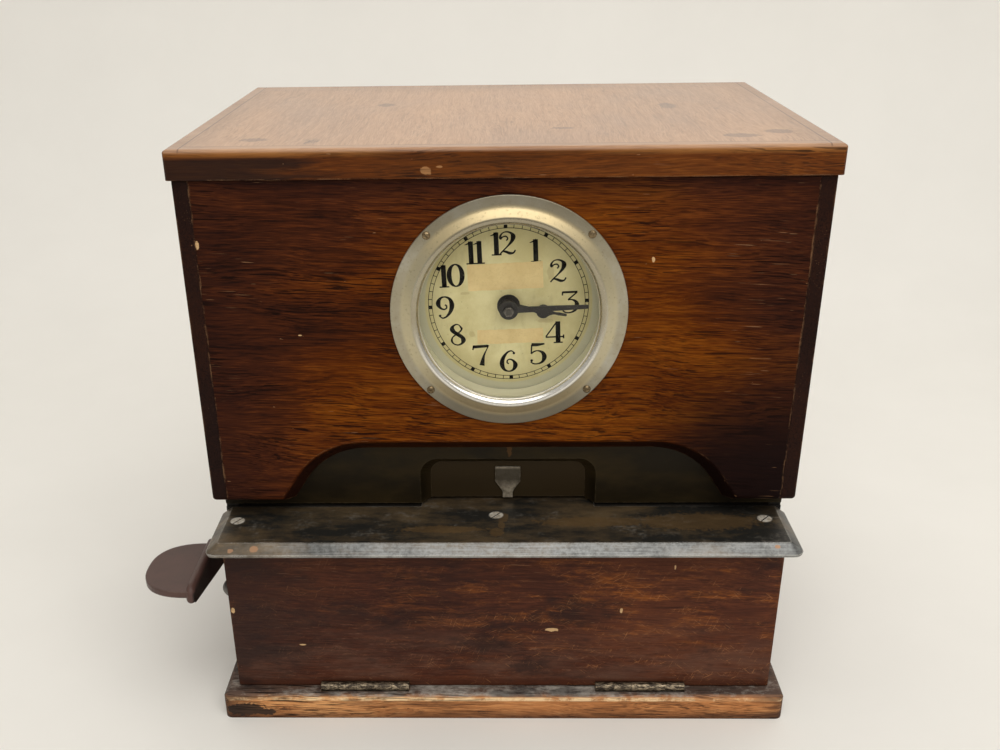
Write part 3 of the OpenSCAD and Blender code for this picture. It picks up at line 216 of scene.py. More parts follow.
# Faces that the finishes go by
HOOD_FACE, HOOD_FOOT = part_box("hood_front")[0].yz
HOOD_SIDE, HOOD_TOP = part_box("hood_front")[1].xz
LID_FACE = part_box("lid")[0].y
LID_SIDE, LID_BACK, LID_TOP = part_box("lid")[1]
PLINTH_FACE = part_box("plinth")[0].y
PLINTH_SIDE, PLINTH_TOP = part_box("plinth")[1].xz
FLAP_SIDE, FLAP_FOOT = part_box("front_flap")[1].x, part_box("front_flap")[0].z
TRAY_FRONT, TRAY_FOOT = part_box("card_tray")[0].yz
TRAY_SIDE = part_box("card_tray")[1].x
THROAT_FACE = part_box("throat_plate")[0].y
dial_low, dial_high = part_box("dial")
DIAL_X, DIAL_FACE, DIAL_Z = (dial_low.x + dial_high.x) / 2, dial_low.y, (dial_low.z + dial_high.z) / 2

GRAIN_TURN = {"X": (0, -0.035, 0), "Y": (0, 0, math.pi / 2)}
WORN = (0.40, 0.215, 0.105)
CHIP = (0.62, 0.40, 0.20)


def wood(name, along, seed, tones, rough, spec, scars, more=None, turn=None, coat=None, quiet=0.0):
    """Stained wood: stains, streaks, lines and open pores along one axis, scratches and worn edges."""
    s = Shader(name)
    base = turn(s) if turn else s.scaled(rot=GRAIN_TURN[along])
    base = s.scaled(loc=(seed * 0.37, seed * 0.11, seed * 0.23), vec=base)
    sway = s.times(s.noise((7, 16, 16), 2.0, vec=base), 18 * MM)
    shift = s.node("CombineXYZ", Y=sway, Z=sway).outputs[0]
    bent = s.node("VectorMath", {"operation": "ADD"}, i0=base, i1=shift).outputs[0]
    broad = s.noise((6, 14, 14), 3.0, 0.5, vec=bent)
    streak = s.noise((9, 130, 130), 4.0, 0.65, vec=bent)
    line = s.noise((26, 430, 430), 4.0, 0.65, vec=bent)
    fine = s.noise((70, 1500, 1500), 2.0, 0.6, vec=bent)
    tone = s.plus(s.times(broad, 0.34), s.times(streak, 0.14))
    tone = s.plus(tone, s.plus(s.times(line, 0.24), s.times(fine, 0.28)))
    tone = s.span(tone, 0.39, 0.61)
    v = {"tone": tone, "broad": broad, "streak": streak, "line": line, "fine": fine}
    colour = s.ramp(tone, tones)
    if more:
        colour = more(s, colour, v)
    loud = s.less(1.0, quiet(s)) if callable(quiet) else 1.0 - quiet
    long_pore = s.span(s.noise((26, 900, 900), 2.0, 0.5, vec=bent), 0.575, 0.610)
    short_pore = s.span(s.noise((90, 1500, 1500), 1.0, 0.4, vec=bent), 0.58, 0.66)
    many = s.span(s.noise((10, 34, 34), 3.0, vec=base), 0.38, 0.60, 0.25, 1.0)
    pores = s.times(s.most(long_pore, s.times(short_pore, 0.7)), many, loud)
    colour = s.tint(colour, tuple(0.3 * c for c in tones[0]), 0.85, pores)
    where = s.span(s.noise(22, 4.0, vec=base), 0.53, 0.64)
    scratch = s.span(s.noise((38, 1300, 1300), 1.0, rot=(0, 0.05, 0.05), vec=base), 0.71, 0.76)
    cross = s.span(s.noise((70, 1100, 1100), 1.0, rot=(0, 0.8, 0.8), vec=base), 0.73, 0.77)
    dent = s.span(s.noise((150, 420, 420), 2.0, vec=base), 0.775, 0.79)
    scar = s.most(s.times(s.most(scratch, cross), where), dent)
    colour = s.tint(colour, WORN, scars, scar)
    soft = s.bevel(1.6)
    rub = s.noise((45, 90, 90), 5.0, 0.7, vec=base)
    wear = s.times(s.edge(soft), s.span(rub, 0.47, 0.60))
    colour = s.tint(colour, WORN, 0.8, wear)
    relief = s.less(s.times(fine, 0.3), s.times(pores, 0.6))
    relief = s.less(relief, s.times(scar, 0.7))
    return s.finish(
        Base_Color=colour,
        Roughness=s.plus(s.span(broad, 0.3, 0.7, rough - 0.07, rough + 0.08), s.times(wear, 0.2)),
        Normal=s.bump(relief, 0.3, 0.4, soft),
        Coat_Weight=coat(s) if coat else 0.0,
        Coat_Roughness=0.25,
        Specular_IOR_Level=spec,
    )


def hood_tones(s, colour, v):
    """Orange-brown round the bezel, purple-dark painted shade towards the sides, foot and top and at the
    lower right, and dark painted shade in the arch.
    """
    x, y, z = s.axes()
    dx = s.times(s.less(x, DIAL_X), 0.62)
    dz = s.less(z, DIAL_Z - 28 * MM)
    away = s.length(dx, dz)
    away = s.plus(away, s.span(v["broad"], 0.3, 0.7, 30 * MM, -30 * MM))
    glow = s.past(away, 0, 60, 122, 1.0, 0.0, True)
    amber = s.ramp(v["tone"], ((0.026, 0.005, 0.0004), (0.100, 0.021, 0.0008), (0.220, 0.062, 0.003)))
    colour = s.tint(colour, amber, 0.9, glow)
    # Painted shade, purple-dark: towards the sides, most at the foot, and under the lid at the top.
    side = s.past(s.abs(x), HOOD_SIDE, -63, 3, smooth=True)
    foot = s.past(z, HOOD_FOOT, -0.5, 67.5, 1.0, 0.0, True)
    head = s.past(z, HOOD_TOP, -22, 1, 0.0, 0.75, True)
    painted_shade = s.most(s.times(side, foot), s.times(side, 0.5), head)
    colour = s.tint(colour, (0.013, 0.0045, 0.0042), 0.78, painted_shade)
    # Painted shade low on the right of the front.
    low = s.past(z, HOOD_FOOT, 32.5, 117.5, 1.0, 0.0, True)
    low = s.times(s.past(x, HOOD_SIDE, -113, -43, smooth=True), low)
    colour = s.tint(colour, (0.006, 0.0022, 0.0020), 0.92, low)
    # Painted shade on the arch's faces behind the front, which face down, away from the light.
    inside = s.past(y, HOOD_FACE, 0.6, 1.8)
    colour = s.tint(colour, (0.006, 0.0022, 0.0016), 0.85, inside)
    chips = s.marks([(90, 335, 1.0, 1.6), (-182, 346, 1.2, 2.6), (-125, 289, 1.4, 0.5), (38, 206, 1.5, 0.4)])
    return s.tint(colour, CHIP, 0.9, chips)


def side_tones(s, colour, v):
    """The boards' front edges are dark and handled."""
    front = s.past(s.axes()[1], HOOD_FACE, 0.4, 1.5, 1.0, 0.0)
    return s.tint(colour, (0.010, 0.0040, 0.0030), 0.85, front)


LIPPING_X, LIPPING_Y = LID_SIDE - 9.5 * MM, LID_FACE + 10 * MM
LID_SMUDGES = (
    (-148, -110, 9, 6), (141, -110, 12, 7), (166, -97, 9, 8),
    (115, 12, 6, 14), (38, -78, 8, 4), (-81, 29, 6, 9),
)


def lid_turn(s):
    """Grain runs front to back inside the lid's lipping, and along the lipping itself."""
    x, y = s.axes()[:2]
    sides = s.past(s.abs(x), LIPPING_X, -0.1, 0.1)
    rim = s.most(sides, s.past(y, LIPPING_Y, -0.1, 0.1, 1.0, 0.0))
    return s.mix(rim, s.scaled(rot=GRAIN_TURN["Y"]), s.place)


def lid_top(s, share=1.0):
    """The share on the lid's top, 0 on its edges."""
    return s.past(s.axes()[2], LID_TOP, -2.8, -0.6, 0.0, share)


def lid_coat(s):
    """Varnish is left on the top only."""
    return lid_top(s, 0.7)


def lid_fill(s):
    """Where the top's fill of wax and dust closes the pores."""
    return lid_top(s, 0.75)


def lid_tones(s, colour, v):
    """Top faded to tan with dark marks, a fine joint inside the edges, a dark and rubbed front edge."""
    x, y, z = s.axes()
    top = lid_top(s)
    faded = s.ramp(v["tone"], ((0.33, 0.170, 0.085), (0.45, 0.250, 0.135), (0.55, 0.325, 0.185)))
    colour = s.mix(top, colour, faded)
    mark = s.noise((26, 11, 26), 6.0, 0.75, loc=(0.4, 0.9, 0.2))
    colour = s.tint(colour, (0.085, 0.047, 0.033), 0.6, s.span(mark, 0.63, 0.70), top)
    smudge = s.marks(LID_SMUDGES, "y")
    colour = s.tint(colour, (0.13, 0.075, 0.055), 0.55, smudge, top)
    rim = s.past(s.abs(x), LID_SIDE, -35.5, -5.5, smooth=True)
    rim = s.most(rim, s.past(y, LID_BACK, -58, -1, smooth=True))
    rim = s.times(rim, top, s.span(v["broad"], 0.3, 0.6))
    colour = s.tint(colour, (0.16, 0.085, 0.05), 0.45, rim)
    side = s.abs(s.less(s.abs(x), LIPPING_X))
    front = s.abs(s.less(y, LIPPING_Y))
    seam = s.times(s.past(s.math("MINIMUM", side, front), 0, 0.2, 0.7, 1.0, 0.0), top)
    colour = s.tint(colour, (0.06, 0.026, 0.016), 0.6, seam)
    face = s.past(y, LID_FACE, 0.7, 2.5, 1.0, 0.0)
    middle = s.times(s.past(s.abs(x), 0, 30, 110, 0.15, 0.0, True), face)
    colour = s.mix(middle, colour, (0.24, 0.075, 0.010))
    ragged_x = s.plus(x, s.span(v["streak"], 0.3, 0.7, -40 * MM, 40 * MM))
    left = s.past(ragged_x, -LID_SIDE, 45.5, 110.5, 1.0, 0.0, True)
    dark = s.times(left, face, s.past(z, LID_TOP, -6.3, -3.3, 1.0, 0.0))
    colour = s.tint(colour, (0.012, 0.006, 0.0045), 0.85, dark)
    lip = s.times(s.past(z, LID_TOP, -5.3, -2.8), s.past(z, LID_TOP, -1.8, -0.6, 1.0, 0.0))
    colour = s.tint(colour, (0.38, 0.165, 0.045), 0.8, lip, s.span(v["broad"], 0.35, 0.6))
    chips = s.marks([(-44, 389, 3.2, 2.6), (-36, 391, 2.0, 0.6)])
    return s.tint(colour, (0.40, 0.20, 0.08), 0.7, chips, face)


def plinth_tones(s, colour, v):
    """Front face rubbed to bare tan wood with dark scars and ends, a dusty top, a pale rounded edge."""
    x, y, z = s.axes()
    front = s.past(y, PLINTH_FACE, 0.5, 2.7, 1.0, 0.0)
    rubbed = s.noise((9, 40, 90), 6.0, 0.75)
    ragged_x = s.plus(s.abs(x), s.span(rubbed, 0.3, 0.7, 20 * MM, -20 * MM))
    ends = s.past(ragged_x, PLINTH_SIDE, -29.5, -3.5, 1.0, 0.15, True)
    low = s.past(z, 0, 0.5, 10, 0.3, 1.0)
    bare = s.times(s.span(rubbed, 0.30, 0.50), s.times(front, ends, low))
    tan = s.ramp(v["tone"], ((0.28, 0.105, 0.036), (0.54, 0.220, 0.075), (0.78, 0.40, 0.16)))
    colour = s.mix(bare, colour, tan)
    burnt = s.marks([(-186, 7.5, 15, 5.5), (-172, 5.5, 9, 3)])
    colour = s.tint(colour, (0.020, 0.016, 0.014), 0.9, burnt, front)
    scar = s.noise((45, 70, 120), 5.0, 0.75, loc=(0.2, 0.2, 0.5))
    colour = s.tint(colour, (0.06, 0.026, 0.014), 0.8, s.span(scar, 0.60, 0.68), front)
    dust = s.noise((60, 90, 90), 6.0, 0.75)
    top = s.past(z, PLINTH_TOP, -2.1, -1.5)
    dust = s.times(dust, s.past(s.abs(x), PLINTH_SIDE, -101.5, -36.5, 1.0, 0.78, True))
    colour = s.mix(s.times(top, s.span(dust, 0.40, 0.60, 0.10, 0.95)), colour, (0.42, 0.385, 0.34))
    stain = s.noise((22, 40, 40), 4.0, 0.7, loc=(0.7, 0.3, 0.1))
    colour = s.tint(colour, (0.022, 0.022, 0.025), 0.6, top, s.span(stain, 0.52, 0.62))
    bend = s.times(s.past(z, PLINTH_TOP, -5.5, -4.5), s.past(z, PLINTH_TOP, -2.7, -1.8, 1.0, 0.0))
    bend = s.times(bend, s.past(y, PLINTH_FACE, 0.9, 3.3, 1.0, 0.0), s.span(dust, 0.40, 0.52, 0.15, 1.0))
    return s.mix(bend, colour, (0.88, 0.63, 0.36))


FLAP_CHIPS = (
    (35, 70, 5, 1.5), (83, 86, 1.0, 2.2), (-189, 86, 1.5, 2.4), (-142, 57, 2.4, 0.7), (118, 121, 0.6, 2),
)


def flap_tones(s, colour, v):
    """Amber scuffs at mid height and to the right, greyed towards the foot, dark at the left."""
    x, z = s.axes()[::2]
    scuff = s.noise((20, 30, 84), 10.0, 0.80)
    right = s.past(x, 0, -130, 60, 0.30, 1.0, True)
    belt = s.times(s.past(z, FLAP_FOOT, 24, 64, 0.15, 1.0), s.past(z, FLAP_FOOT, 97, 124, 1.0, 0.15))
    amber = s.times(s.span(scuff, 0.49, 0.62), s.times(belt, right))
    amber = s.times(amber, s.span(v["line"], 0.40, 0.60, 0.35, 1.0), s.span(v["fine"], 0.40, 0.60, 0.45, 1.0))
    colour = s.mix(amber, colour, (0.32, 0.097, 0.016))
    scrape = s.noise((60, 80, 420), 7.0, 0.78, rot=(0, 0.06, 0))
    scrape = s.times(s.span(scrape, 0.56, 0.68), s.span(scuff, 0.40, 0.55))
    colour = s.tint(colour, (0.30, 0.145, 0.085), 0.7, scrape, s.past(z, FLAP_FOOT, 9, 79, 1.0, 0.35))
    haze = s.noise((16, 50, 60), 6.0, 0.7, loc=(0.6, 0.1, 0.8))
    grey = s.times(s.span(haze, 0.42, 0.62), s.past(z, FLAP_FOOT, 9, 69, 1.0, 0.05))
    colour = s.tint(colour, (0.125, 0.066, 0.045), 0.55, grey)
    foot = s.past(z, FLAP_FOOT, 4.5, 7.5, 1.0, 0.0)
    colour = s.tint(colour, (0.065, 0.018, 0.008), 0.7, foot)
    stain = s.noise((14, 30, 34), 5.0, 0.7, loc=(0.1, 0.8, 0.3))
    colour = s.tint(colour, (0.018, 0.010, 0.009), 0.65, s.span(stain, 0.52, 0.64))
    ragged_x = s.plus(x, s.span(scuff, 0.3, 0.7, 30 * MM, -30 * MM))
    left = s.past(ragged_x, -FLAP_SIDE, 6, 81, 1.0, 0.0, True)
    colour = s.tint(colour, (0.026, 0.014, 0.012), 0.6, left, s.past(z, FLAP_FOOT, 9, 59, 0.4, 1.0))
    for lean in (0.5, -0.7, 1.2):
        hair = s.noise((60, 1500, 1500), 2.0, vec=s.scaled(rot=(0, lean, 0)))
        hair = s.times(s.span(hair, 0.64, 0.70), s.span(scuff, 0.46, 0.58), right)
        colour = s.tint(colour, (0.42, 0.18, 0.07), 0.8, hair)
    return s.tint(colour, CHIP, 0.95, s.marks(FLAP_CHIPS))


BROWN = [(0.014, 0.0040, 0.0022), (0.060, 0.0145, 0.0044), (0.135, 0.035, 0.008)]
LID_BROWN = [(0.042, 0.0105, 0.0014), (0.108, 0.027, 0.0028), (0.190, 0.057, 0.007)]
FLAP_BROWN = [(0.030, 0.0095, 0.006), (0.064, 0.0185, 0.0095), (0.115, 0.034, 0.014)]
PLINTH_BROWN = [(0.022, 0.009, 0.006), (0.06, 0.024, 0.014), (0.11, 0.05, 0.028)]
RAW_BROWN = [(0.08, 0.04, 0.02), (0.16, 0.085, 0.042), (0.25, 0.145, 0.08)]
hood_wood = wood("hood_wood", "X", 1.0, BROWN, 0.5, 0.05, 0.45, hood_tones)
side_wood = wood("side_wood", "Y", 2.0, BROWN, 0.5, 0.08, 0.45, side_tones)
lid_wood = wood("lid_wood", "X", 3.0, LID_BROWN, 0.42, 0.12, 0.5, lid_tones, lid_turn, lid_coat, lid_fill)
flap_wood = wood("flap_wood", "X", 4.0, FLAP_BROWN, 0.5, 0.12, 0.35, flap_tones, quiet=0.6)
plinth_wood = wood("plinth_wood", "X", 5.0, PLINTH_BROWN, 0.55, 0.15, 0.7, plinth_tones)
raw_wood = wood("raw_wood", "X", 6.0, RAW_BROWN, 0.6, 0.2, 0.4)


def metal(name, base, spot, rough, dirt, metallic=1.0, grain=140, edge_wear_and_highlight=None):
    """Handled metal: mottled tone, fine scratches, and lighter edges where an edge colour is given: rubbed
    wear on the iron, painted highlights on the nut.
    """
    s = Shader(name)
    mottle = s.noise(grain, 6.0, 0.65)
    broad = s.noise(22, 4.0, 0.6, loc=(0.3, 0.7, 0.1))
    tone = s.plus(s.times(mottle, 0.5), s.times(broad, 0.5))
    colour = s.mix(s.times(s.span(tone, 0.42, 0.66), dirt), base, spot)
    scratch = s.noise((900, 40, 900), 2.0, 0.5, rot=(0.3, 0.2, 0.5))
    gloss = s.span(tone, 0.35, 0.65, rough - 0.08, rough + 0.14)
    gloss = s.plus(gloss, s.span(scratch, 0.6, 0.8, 0.0, 0.12))
    if edge_wear_and_highlight:
        soft = s.bevel(0.9)
        rub = s.times(s.edge(soft, 0.02, 0.2), s.span(mottle, 0.35, 0.6))
        colour = s.tint(colour, edge_wear_and_highlight, 0.8, rub)
    relief = s.plus(s.times(mottle, 0.6), s.times(scratch, 0.25))
    return s.finish(Base_Color=colour, Metallic=metallic, Roughness=gloss, Normal=s.bump(relief, 0.12))


TRAY_RUNS = (
    (1, -134, 3.2, 7), (-0.5, -144, 2.6, 6), (-3.5, -154, 5, 6),
    (-40, -150, 30, 5), (60, -140, 40, 7), (130, -140, 45, 12),
)


def tray_metal():
    """Blackened sheet: brown patina, scratches, grey rubbed flanges with bright folds and coppery spots."""
    s = Shader("tray_metal")
    x, y, z = s.axes()
    broad = s.noise((13, 30, 30), 6.0, 0.7)
    mottle = s.noise(330, 5.0, 0.7)
    cloud = s.noise(60, 6.0, 0.7, loc=(0.1, 0.5, 0.3))
    colour = s.mix(s.span(broad, 0.42, 0.64), (0.026, 0.025, 0.022), (0.165, 0.112, 0.058))
    haze = s.times(s.span(cloud, 0.54, 0.66), s.span(mottle, 0.40, 0.62))
    colour = s.tint(colour, (0.26, 0.235, 0.20), 0.55, haze)
    score = s.span(s.noise((60, 1500, 60), 1.0, rot=(0, 0, 0.45)), 0.70, 0.75)
    colour = s.tint(colour, (0.42, 0.38, 0.33), 0.6, score, s.span(cloud, 0.48, 0.58))
    colour = s.tint(colour, (0.20, 0.115, 0.042), 0.45, s.marks(TRAY_RUNS, "y"))
    slope = s.past(z, TRAY_FOOT, 0.2, 6.6, 1.0, 0.0)
    front = s.past(y, TRAY_FRONT, 7.0, 7.8, 1.0, 0.0)
    flange = s.most(front, s.times(slope, 0.75))
    left = s.past(x, -TRAY_SIDE, 3, 133, 0.05, 1.0, True)
    left = s.times(left, s.past(x, 0, 30, 150, 1.0, 0.8, True))
    brushed = s.noise((30, 1100, 1100), 3.0, 0.6)
    grain = s.plus(s.times(mottle, 0.50), s.times(brushed, 0.30), s.times(cloud, 0.20))
    grain = s.span(grain, 0.41, 0.57, 0.30, 1.0)
    grey = s.times(flange, grain, left)
    colour = s.tint(colour, (0.345, 0.355, 0.355), 0.9, grey)
    rust = s.noise(48, 4.0, 0.65, loc=(0.2, 0.4, 0.9))
    corner = s.marks([(-161, -171, 3, 2), (-176, -172, 2, 1.2), (176, -170, 2, 1.2)], "y")
    rust = s.most(s.span(rust, 0.68, 0.74), corner)
    colour = s.tint(colour, (0.36, 0.20, 0.11), 0.85, rust, front)
    soft = s.bevel(1.6)
    fold = s.times(s.edge(soft, 0.01, 0.12), s.span(cloud, 0.36, 0.54, 0.2, 1.0))
    colour = s.tint(colour, (0.70, 0.68, 0.63), 0.9, fold)
    rough = s.plus(s.span(mottle, 0.3, 0.7, 0.30, 0.50), s.times(grey, 0.10))
    return s.finish(
        Base_Color=colour,
        Metallic=s.span(grey, 0.0, 0.8, 0.45, 0.8),
        Roughness=rough,
        Normal=s.bump(s.plus(mottle, s.times(cloud, 0.6)), 0.16, normal=soft),
        Specular_IOR_Level=0.5,
    )


def screw_metal():
    """Rubbed screw heads: bright on top, with painted shade below the top and in the slots."""
    s = Shader("tray_screw_steel")
    cloud = s.noise(420, 5.0, 0.7)
    colour = s.mix(s.span(cloud, 0.40, 0.66), (0.72, 0.68, 0.60), (0.34, 0.27, 0.19))
    # Painted shade: near black on the heads' sides and in the slots.
    deep = s.past(s.axes()[2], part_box("tray_screws")[1].z, -0.5, -0.2, 1.0, 0.0)
    colour = s.tint(colour, (0.02, 0.016, 0.012), 0.95, deep)
    return s.finish(
        Base_Color=colour, Metallic=0.35,
        Roughness=s.span(cloud, 0.3, 0.7, 0.40, 0.58), Normal=s.bump(cloud, 0.15),
    )


def hinge_finish():
    """Old plating under grime: pale crust in speckles over near-black metal."""
    s = Shader("hinge_metal")
    crust = s.noise((260, 700, 700), 5.0, 0.75)
    cloud = s.noise((60, 90, 90), 3.0, 0.6)
    pale = s.times(s.span(crust, 0.46, 0.60), s.span(cloud, 0.34, 0.56, 0.35, 1.0))
    colour = s.mix(pale, (0.032, 0.022, 0.015), (0.44, 0.35, 0.235))
    return s.finish(
        Base_Color=colour, Metallic=0.6,
        Roughness=s.span(crust, 0.3, 0.7, 0.50, 0.30), Normal=s.bump(crust, 0.8, 0.4),
    )


def pointer_finish():
    """Worn plate: bright at the neck and edges, dark on its head."""
    s = Shader("pointer_metal")
    low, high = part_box("pointer")
    cloud = s.noise(230, 6.0, 0.7)
    up = s.span(s.axes()[2], low.z, high.z)
    worn = s.most(s.span(up, 0.30, 0.60, 1.0, 0.10), s.span(up, 0.90, 0.97, 0.0, 0.7))
    worn = s.times(worn, s.span(cloud, 0.34, 0.60, 0.25, 1.0))
    colour = s.mix(worn, (0.050, 0.040, 0.026), (0.46, 0.40, 0.31))
    soft = s.bevel(0.7)
    rim = s.times(s.edge(soft, 0.01, 0.15), s.span(cloud, 0.35, 0.55))
    colour = s.tint(colour, (0.55, 0.49, 0.38), 0.8, rim)
    return s.finish(
        Base_Color=colour, Metallic=0.55,
        Roughness=s.span(cloud, 0.3, 0.7, 0.34, 0.52), Normal=s.bump(cloud, 0.2, normal=soft),
    )


def throat_metal():
    """Dark brown sheet, a little lighter in its pocket, with rubbed bends and a rusty run."""
    s = Shader("throat_metal")
    broad = s.noise((24, 24, 60), 5.0, 0.6)
    mottle = s.noise(230, 4.0, 0.6)
    colour = s.mix(s.span(broad, 0.40, 0.70), (0.014, 0.0095, 0.0035), (0.034, 0.022, 0.007))
    colour = s.tint(colour, (0.12, 0.055, 0.016), 0.6, s.marks([(5, 203, 1.7, 8)]))
    deep = s.past(s.axes()[1], THROAT_FACE, 2.6, 8.6)
    colour = s.tint(colour, (0.040, 0.026, 0.011), 0.8, deep)
    soft = s.bevel(1.2)
    rub = s.times(s.edge(soft), s.span(mottle, 0.4, 0.6))
    colour = s.tint(colour, (0.17, 0.135, 0.08), 0.6, rub)
    return s.finish(
        Base_Color=colour, Metallic=0.35, Roughness=s.span(broad, 0.3, 0.7, 0.38, 0.55),
        Normal=s.bump(mottle, 0.10), Specular_IOR_Level=0.2,
    )


def off_axis(s):
    """Distance from the dial's axis."""
    x, z = s.axes()[::2]
    return s.length(s.less(x, DIAL_X), s.less(z, DIAL_Z))


def bezel_metal():
    """Dull bright metal with fine pits: grey flange with painted shade, cone with painted golden sheen,
    polished inner edge with a painted highlight, and a pale sleeve brightened as painted light.
    """
    s = Shader("bezel_metal")
    y, z = s.axes()[1:]
    r = off_axis(s)
    rise = s.math("DIVIDE", s.less(z, DIAL_Z), r)
    flank = s.span(s.abs(rise), 0.40, 0.90, 1.0, 0.0, True)
    cloud = s.noise(30, 7.0, 0.7)
    speck = s.noise(520, 4.0, 0.65)
    colour = s.ramp(cloud, ((0.43, 0.375, 0.25), (0.51, 0.46, 0.34), (0.60, 0.57, 0.47)), (0.34, 0.50, 0.66))
    # Painted shade by place round the ring: darkest at the bottom, less at the top, least at the sides.
    painted_ring_shade = s.times(s.span(flank, 0.0, 1.0, 1.0, 0.40), s.span(rise, -0.9, 0.9, 0.92, 0.60))
    colour = s.mix(painted_ring_shade, colour, (0.13, 0.115, 0.085))
    cone = s.times(s.past(r, 0, 59.2, 60.6), s.past(r, 0, 64.5, 67.8, 1.0, 0.0, True))
    # Painted sheen on the cone: golden, brightest at the top and darkest at the bottom, even at the sides.
    painted_cone_sheen = s.mix(s.span(rise, -0.5, 0.5), (0.36, 0.29, 0.17), (0.64, 0.52, 0.30))
    painted_cone_sheen = s.mix(flank, painted_cone_sheen, (0.55, 0.485, 0.315))
    colour = s.mix(s.times(cone, s.span(cloud, 0.36, 0.62, 1.0, 0.7)), colour, painted_cone_sheen)
    pit = s.times(s.span(speck, 0.58, 0.68), s.span(cloud, 0.40, 0.60, 1.0, 0.3))
    colour = s.tint(colour, (0.22, 0.18, 0.11), 0.6, pit)
    # Painted highlight on the inner edge: near white at the bottom of the ring, darker elsewhere.
    polished = s.past(r, 0, 58.4, 59.8, 1.0, 0.0)
    bright = s.mix(s.span(rise, -0.75, 0.0, 1.0, 0.0, True), (0.36, 0.32, 0.23), (0.96, 0.94, 0.88))
    colour = s.tint(colour, bright, 0.9, polished)
    # The sleeve behind the face is painted pale and matt: partly its own pale colour, partly painted light in
    # the recess.
    sleeve = s.times(s.past(y, HOOD_FACE, -0.8, -0.6), s.past(r, 0, 60, 61, 1.0, 0.0))
    colour = s.tint(colour, (0.72, 0.705, 0.52), 0.9, sleeve)
    rough = s.plus(s.past(r, 0, 58.4, 60.4, 0.20, 0.36), s.span(speck, 0.5, 0.7, 0.0, 0.10))
    rough = s.plus(rough, s.times(sleeve, 0.25))
    relief = s.plus(s.times(cloud, 0.4), s.times(speck, 0.6))
    return s.finish(
        Base_Color=colour, Metallic=s.span(sleeve, 0.0, 1.0, 0.92, 0.05), Roughness=rough,
        Normal=s.bump(relief, 0.10),
    )


def arbor_metal():
    """Brass wheelwork whose ends are dark polished steel in front of the dial."""
    s = Shader("arbor_metal")
    mottle = s.noise(140, 6.0, 0.65)
    colour = s.mix(s.span(mottle, 0.42, 0.66), (0.66, 0.46, 0.17), (0.42, 0.28, 0.10))
    ahead = s.past(s.axes()[1], DIAL_FACE, -1, 0, 1.0, 0.0)
    colour = s.mix(ahead, colour, (0.085, 0.080, 0.072))
    return s.finish(
        Base_Color=colour, Metallic=s.span(ahead, 0.0, 1.0, 1.0, 0.8),
        Roughness=s.span(mottle, 0.3, 0.7, 0.24, 0.42), Normal=s.bump(mottle, 0.1),
    )


def dial_paint():
    """Aged cream face: brown spots, cloudy yellowing, streaks and a grey margin outside the minute track,
    partly dirt and partly painted shade.
    """
    s = Shader("dial_paint")
    r = off_axis(s)
    cloud = s.noise(45, 6.0, 0.65)
    colour = s.mix(s.span(cloud, 0.38, 0.64), (0.74, 0.685, 0.385), (0.61, 0.545, 0.27))
    smear = s.noise((120, 120, 30), 5.0, 0.7, rot=(0, 0.5, 0))
    colour = s.tint(colour, (0.44, 0.38, 0.20), 0.35, s.span(smear, 0.56, 0.70))
    # Darker towards the rim.
    colour = s.mix(s.past(r, 0, 34, 52, 0.0, 0.55, True), colour, (0.50, 0.45, 0.235))
    # Grey margin outside the minute track: partly dirt, partly painted shade from the bezel's sleeve.
    colour = s.mix(s.past(r, 0, 51.8, 53), colour, (0.53, 0.52, 0.385))
    spot = s.cells(300)
    many = s.noise(70, 2.0, loc=(0.5, 0.1, 0.3))
    spots = s.times(s.span(spot, 0.04, 0.12, 1.0, 0.0), s.span(many, 0.52, 0.64))
    colour = s.tint(colour, (0.22, 0.14, 0.05), 0.6, spots)
    stain = s.marks([(30, 322, 2.5, 5), (-23, 309, 3, 1), (27, 291, 6, 1.5), (-19, 282, 2, 2)])
    colour = s.tint(colour, (0.34, 0.24, 0.09), 0.3, stain)
    gloss = s.span(cloud, 0.3, 0.7, 0.42, 0.58)
    return s.finish(Base_Color=colour, Roughness=gloss, Normal=s.bump(cloud, 0.05))


def paper():
    """Yellowed paper with a fibrous grain."""
    s = Shader("label_paper")
    fibre = s.noise((900, 300, 900), 4.0, 0.7)
    stain = s.noise(70, 4.0, 0.6, loc=(0.8, 0.2, 0.4))
    colour = s.mix(s.span(stain, 0.35, 0.68), (0.80, 0.645, 0.33), (0.70, 0.54, 0.255))
    colour = s.tint(colour, (0.40, 0.26, 0.10), 0.25, s.span(fibre, 0.5, 0.75))
    return s.finish(Base_Color=colour, Roughness=0.75, Normal=s.bump(fibre, 0.2, 0.2))


def plain(name, low, high, rough, **more):
    """A simple finish with a mottled tone."""
    s = Shader(name)
    cloud = s.noise(120, 5.0, 0.6)
    colour = s.mix(s.span(cloud, 0.35, 0.65), low, high)
    gloss = s.span(cloud, 0.3, 0.7, rough - 0.06, rough + 0.08)
    return s.finish(Base_Color=colour, Roughness=gloss, Normal=s.bump(cloud, 0.08), **more)


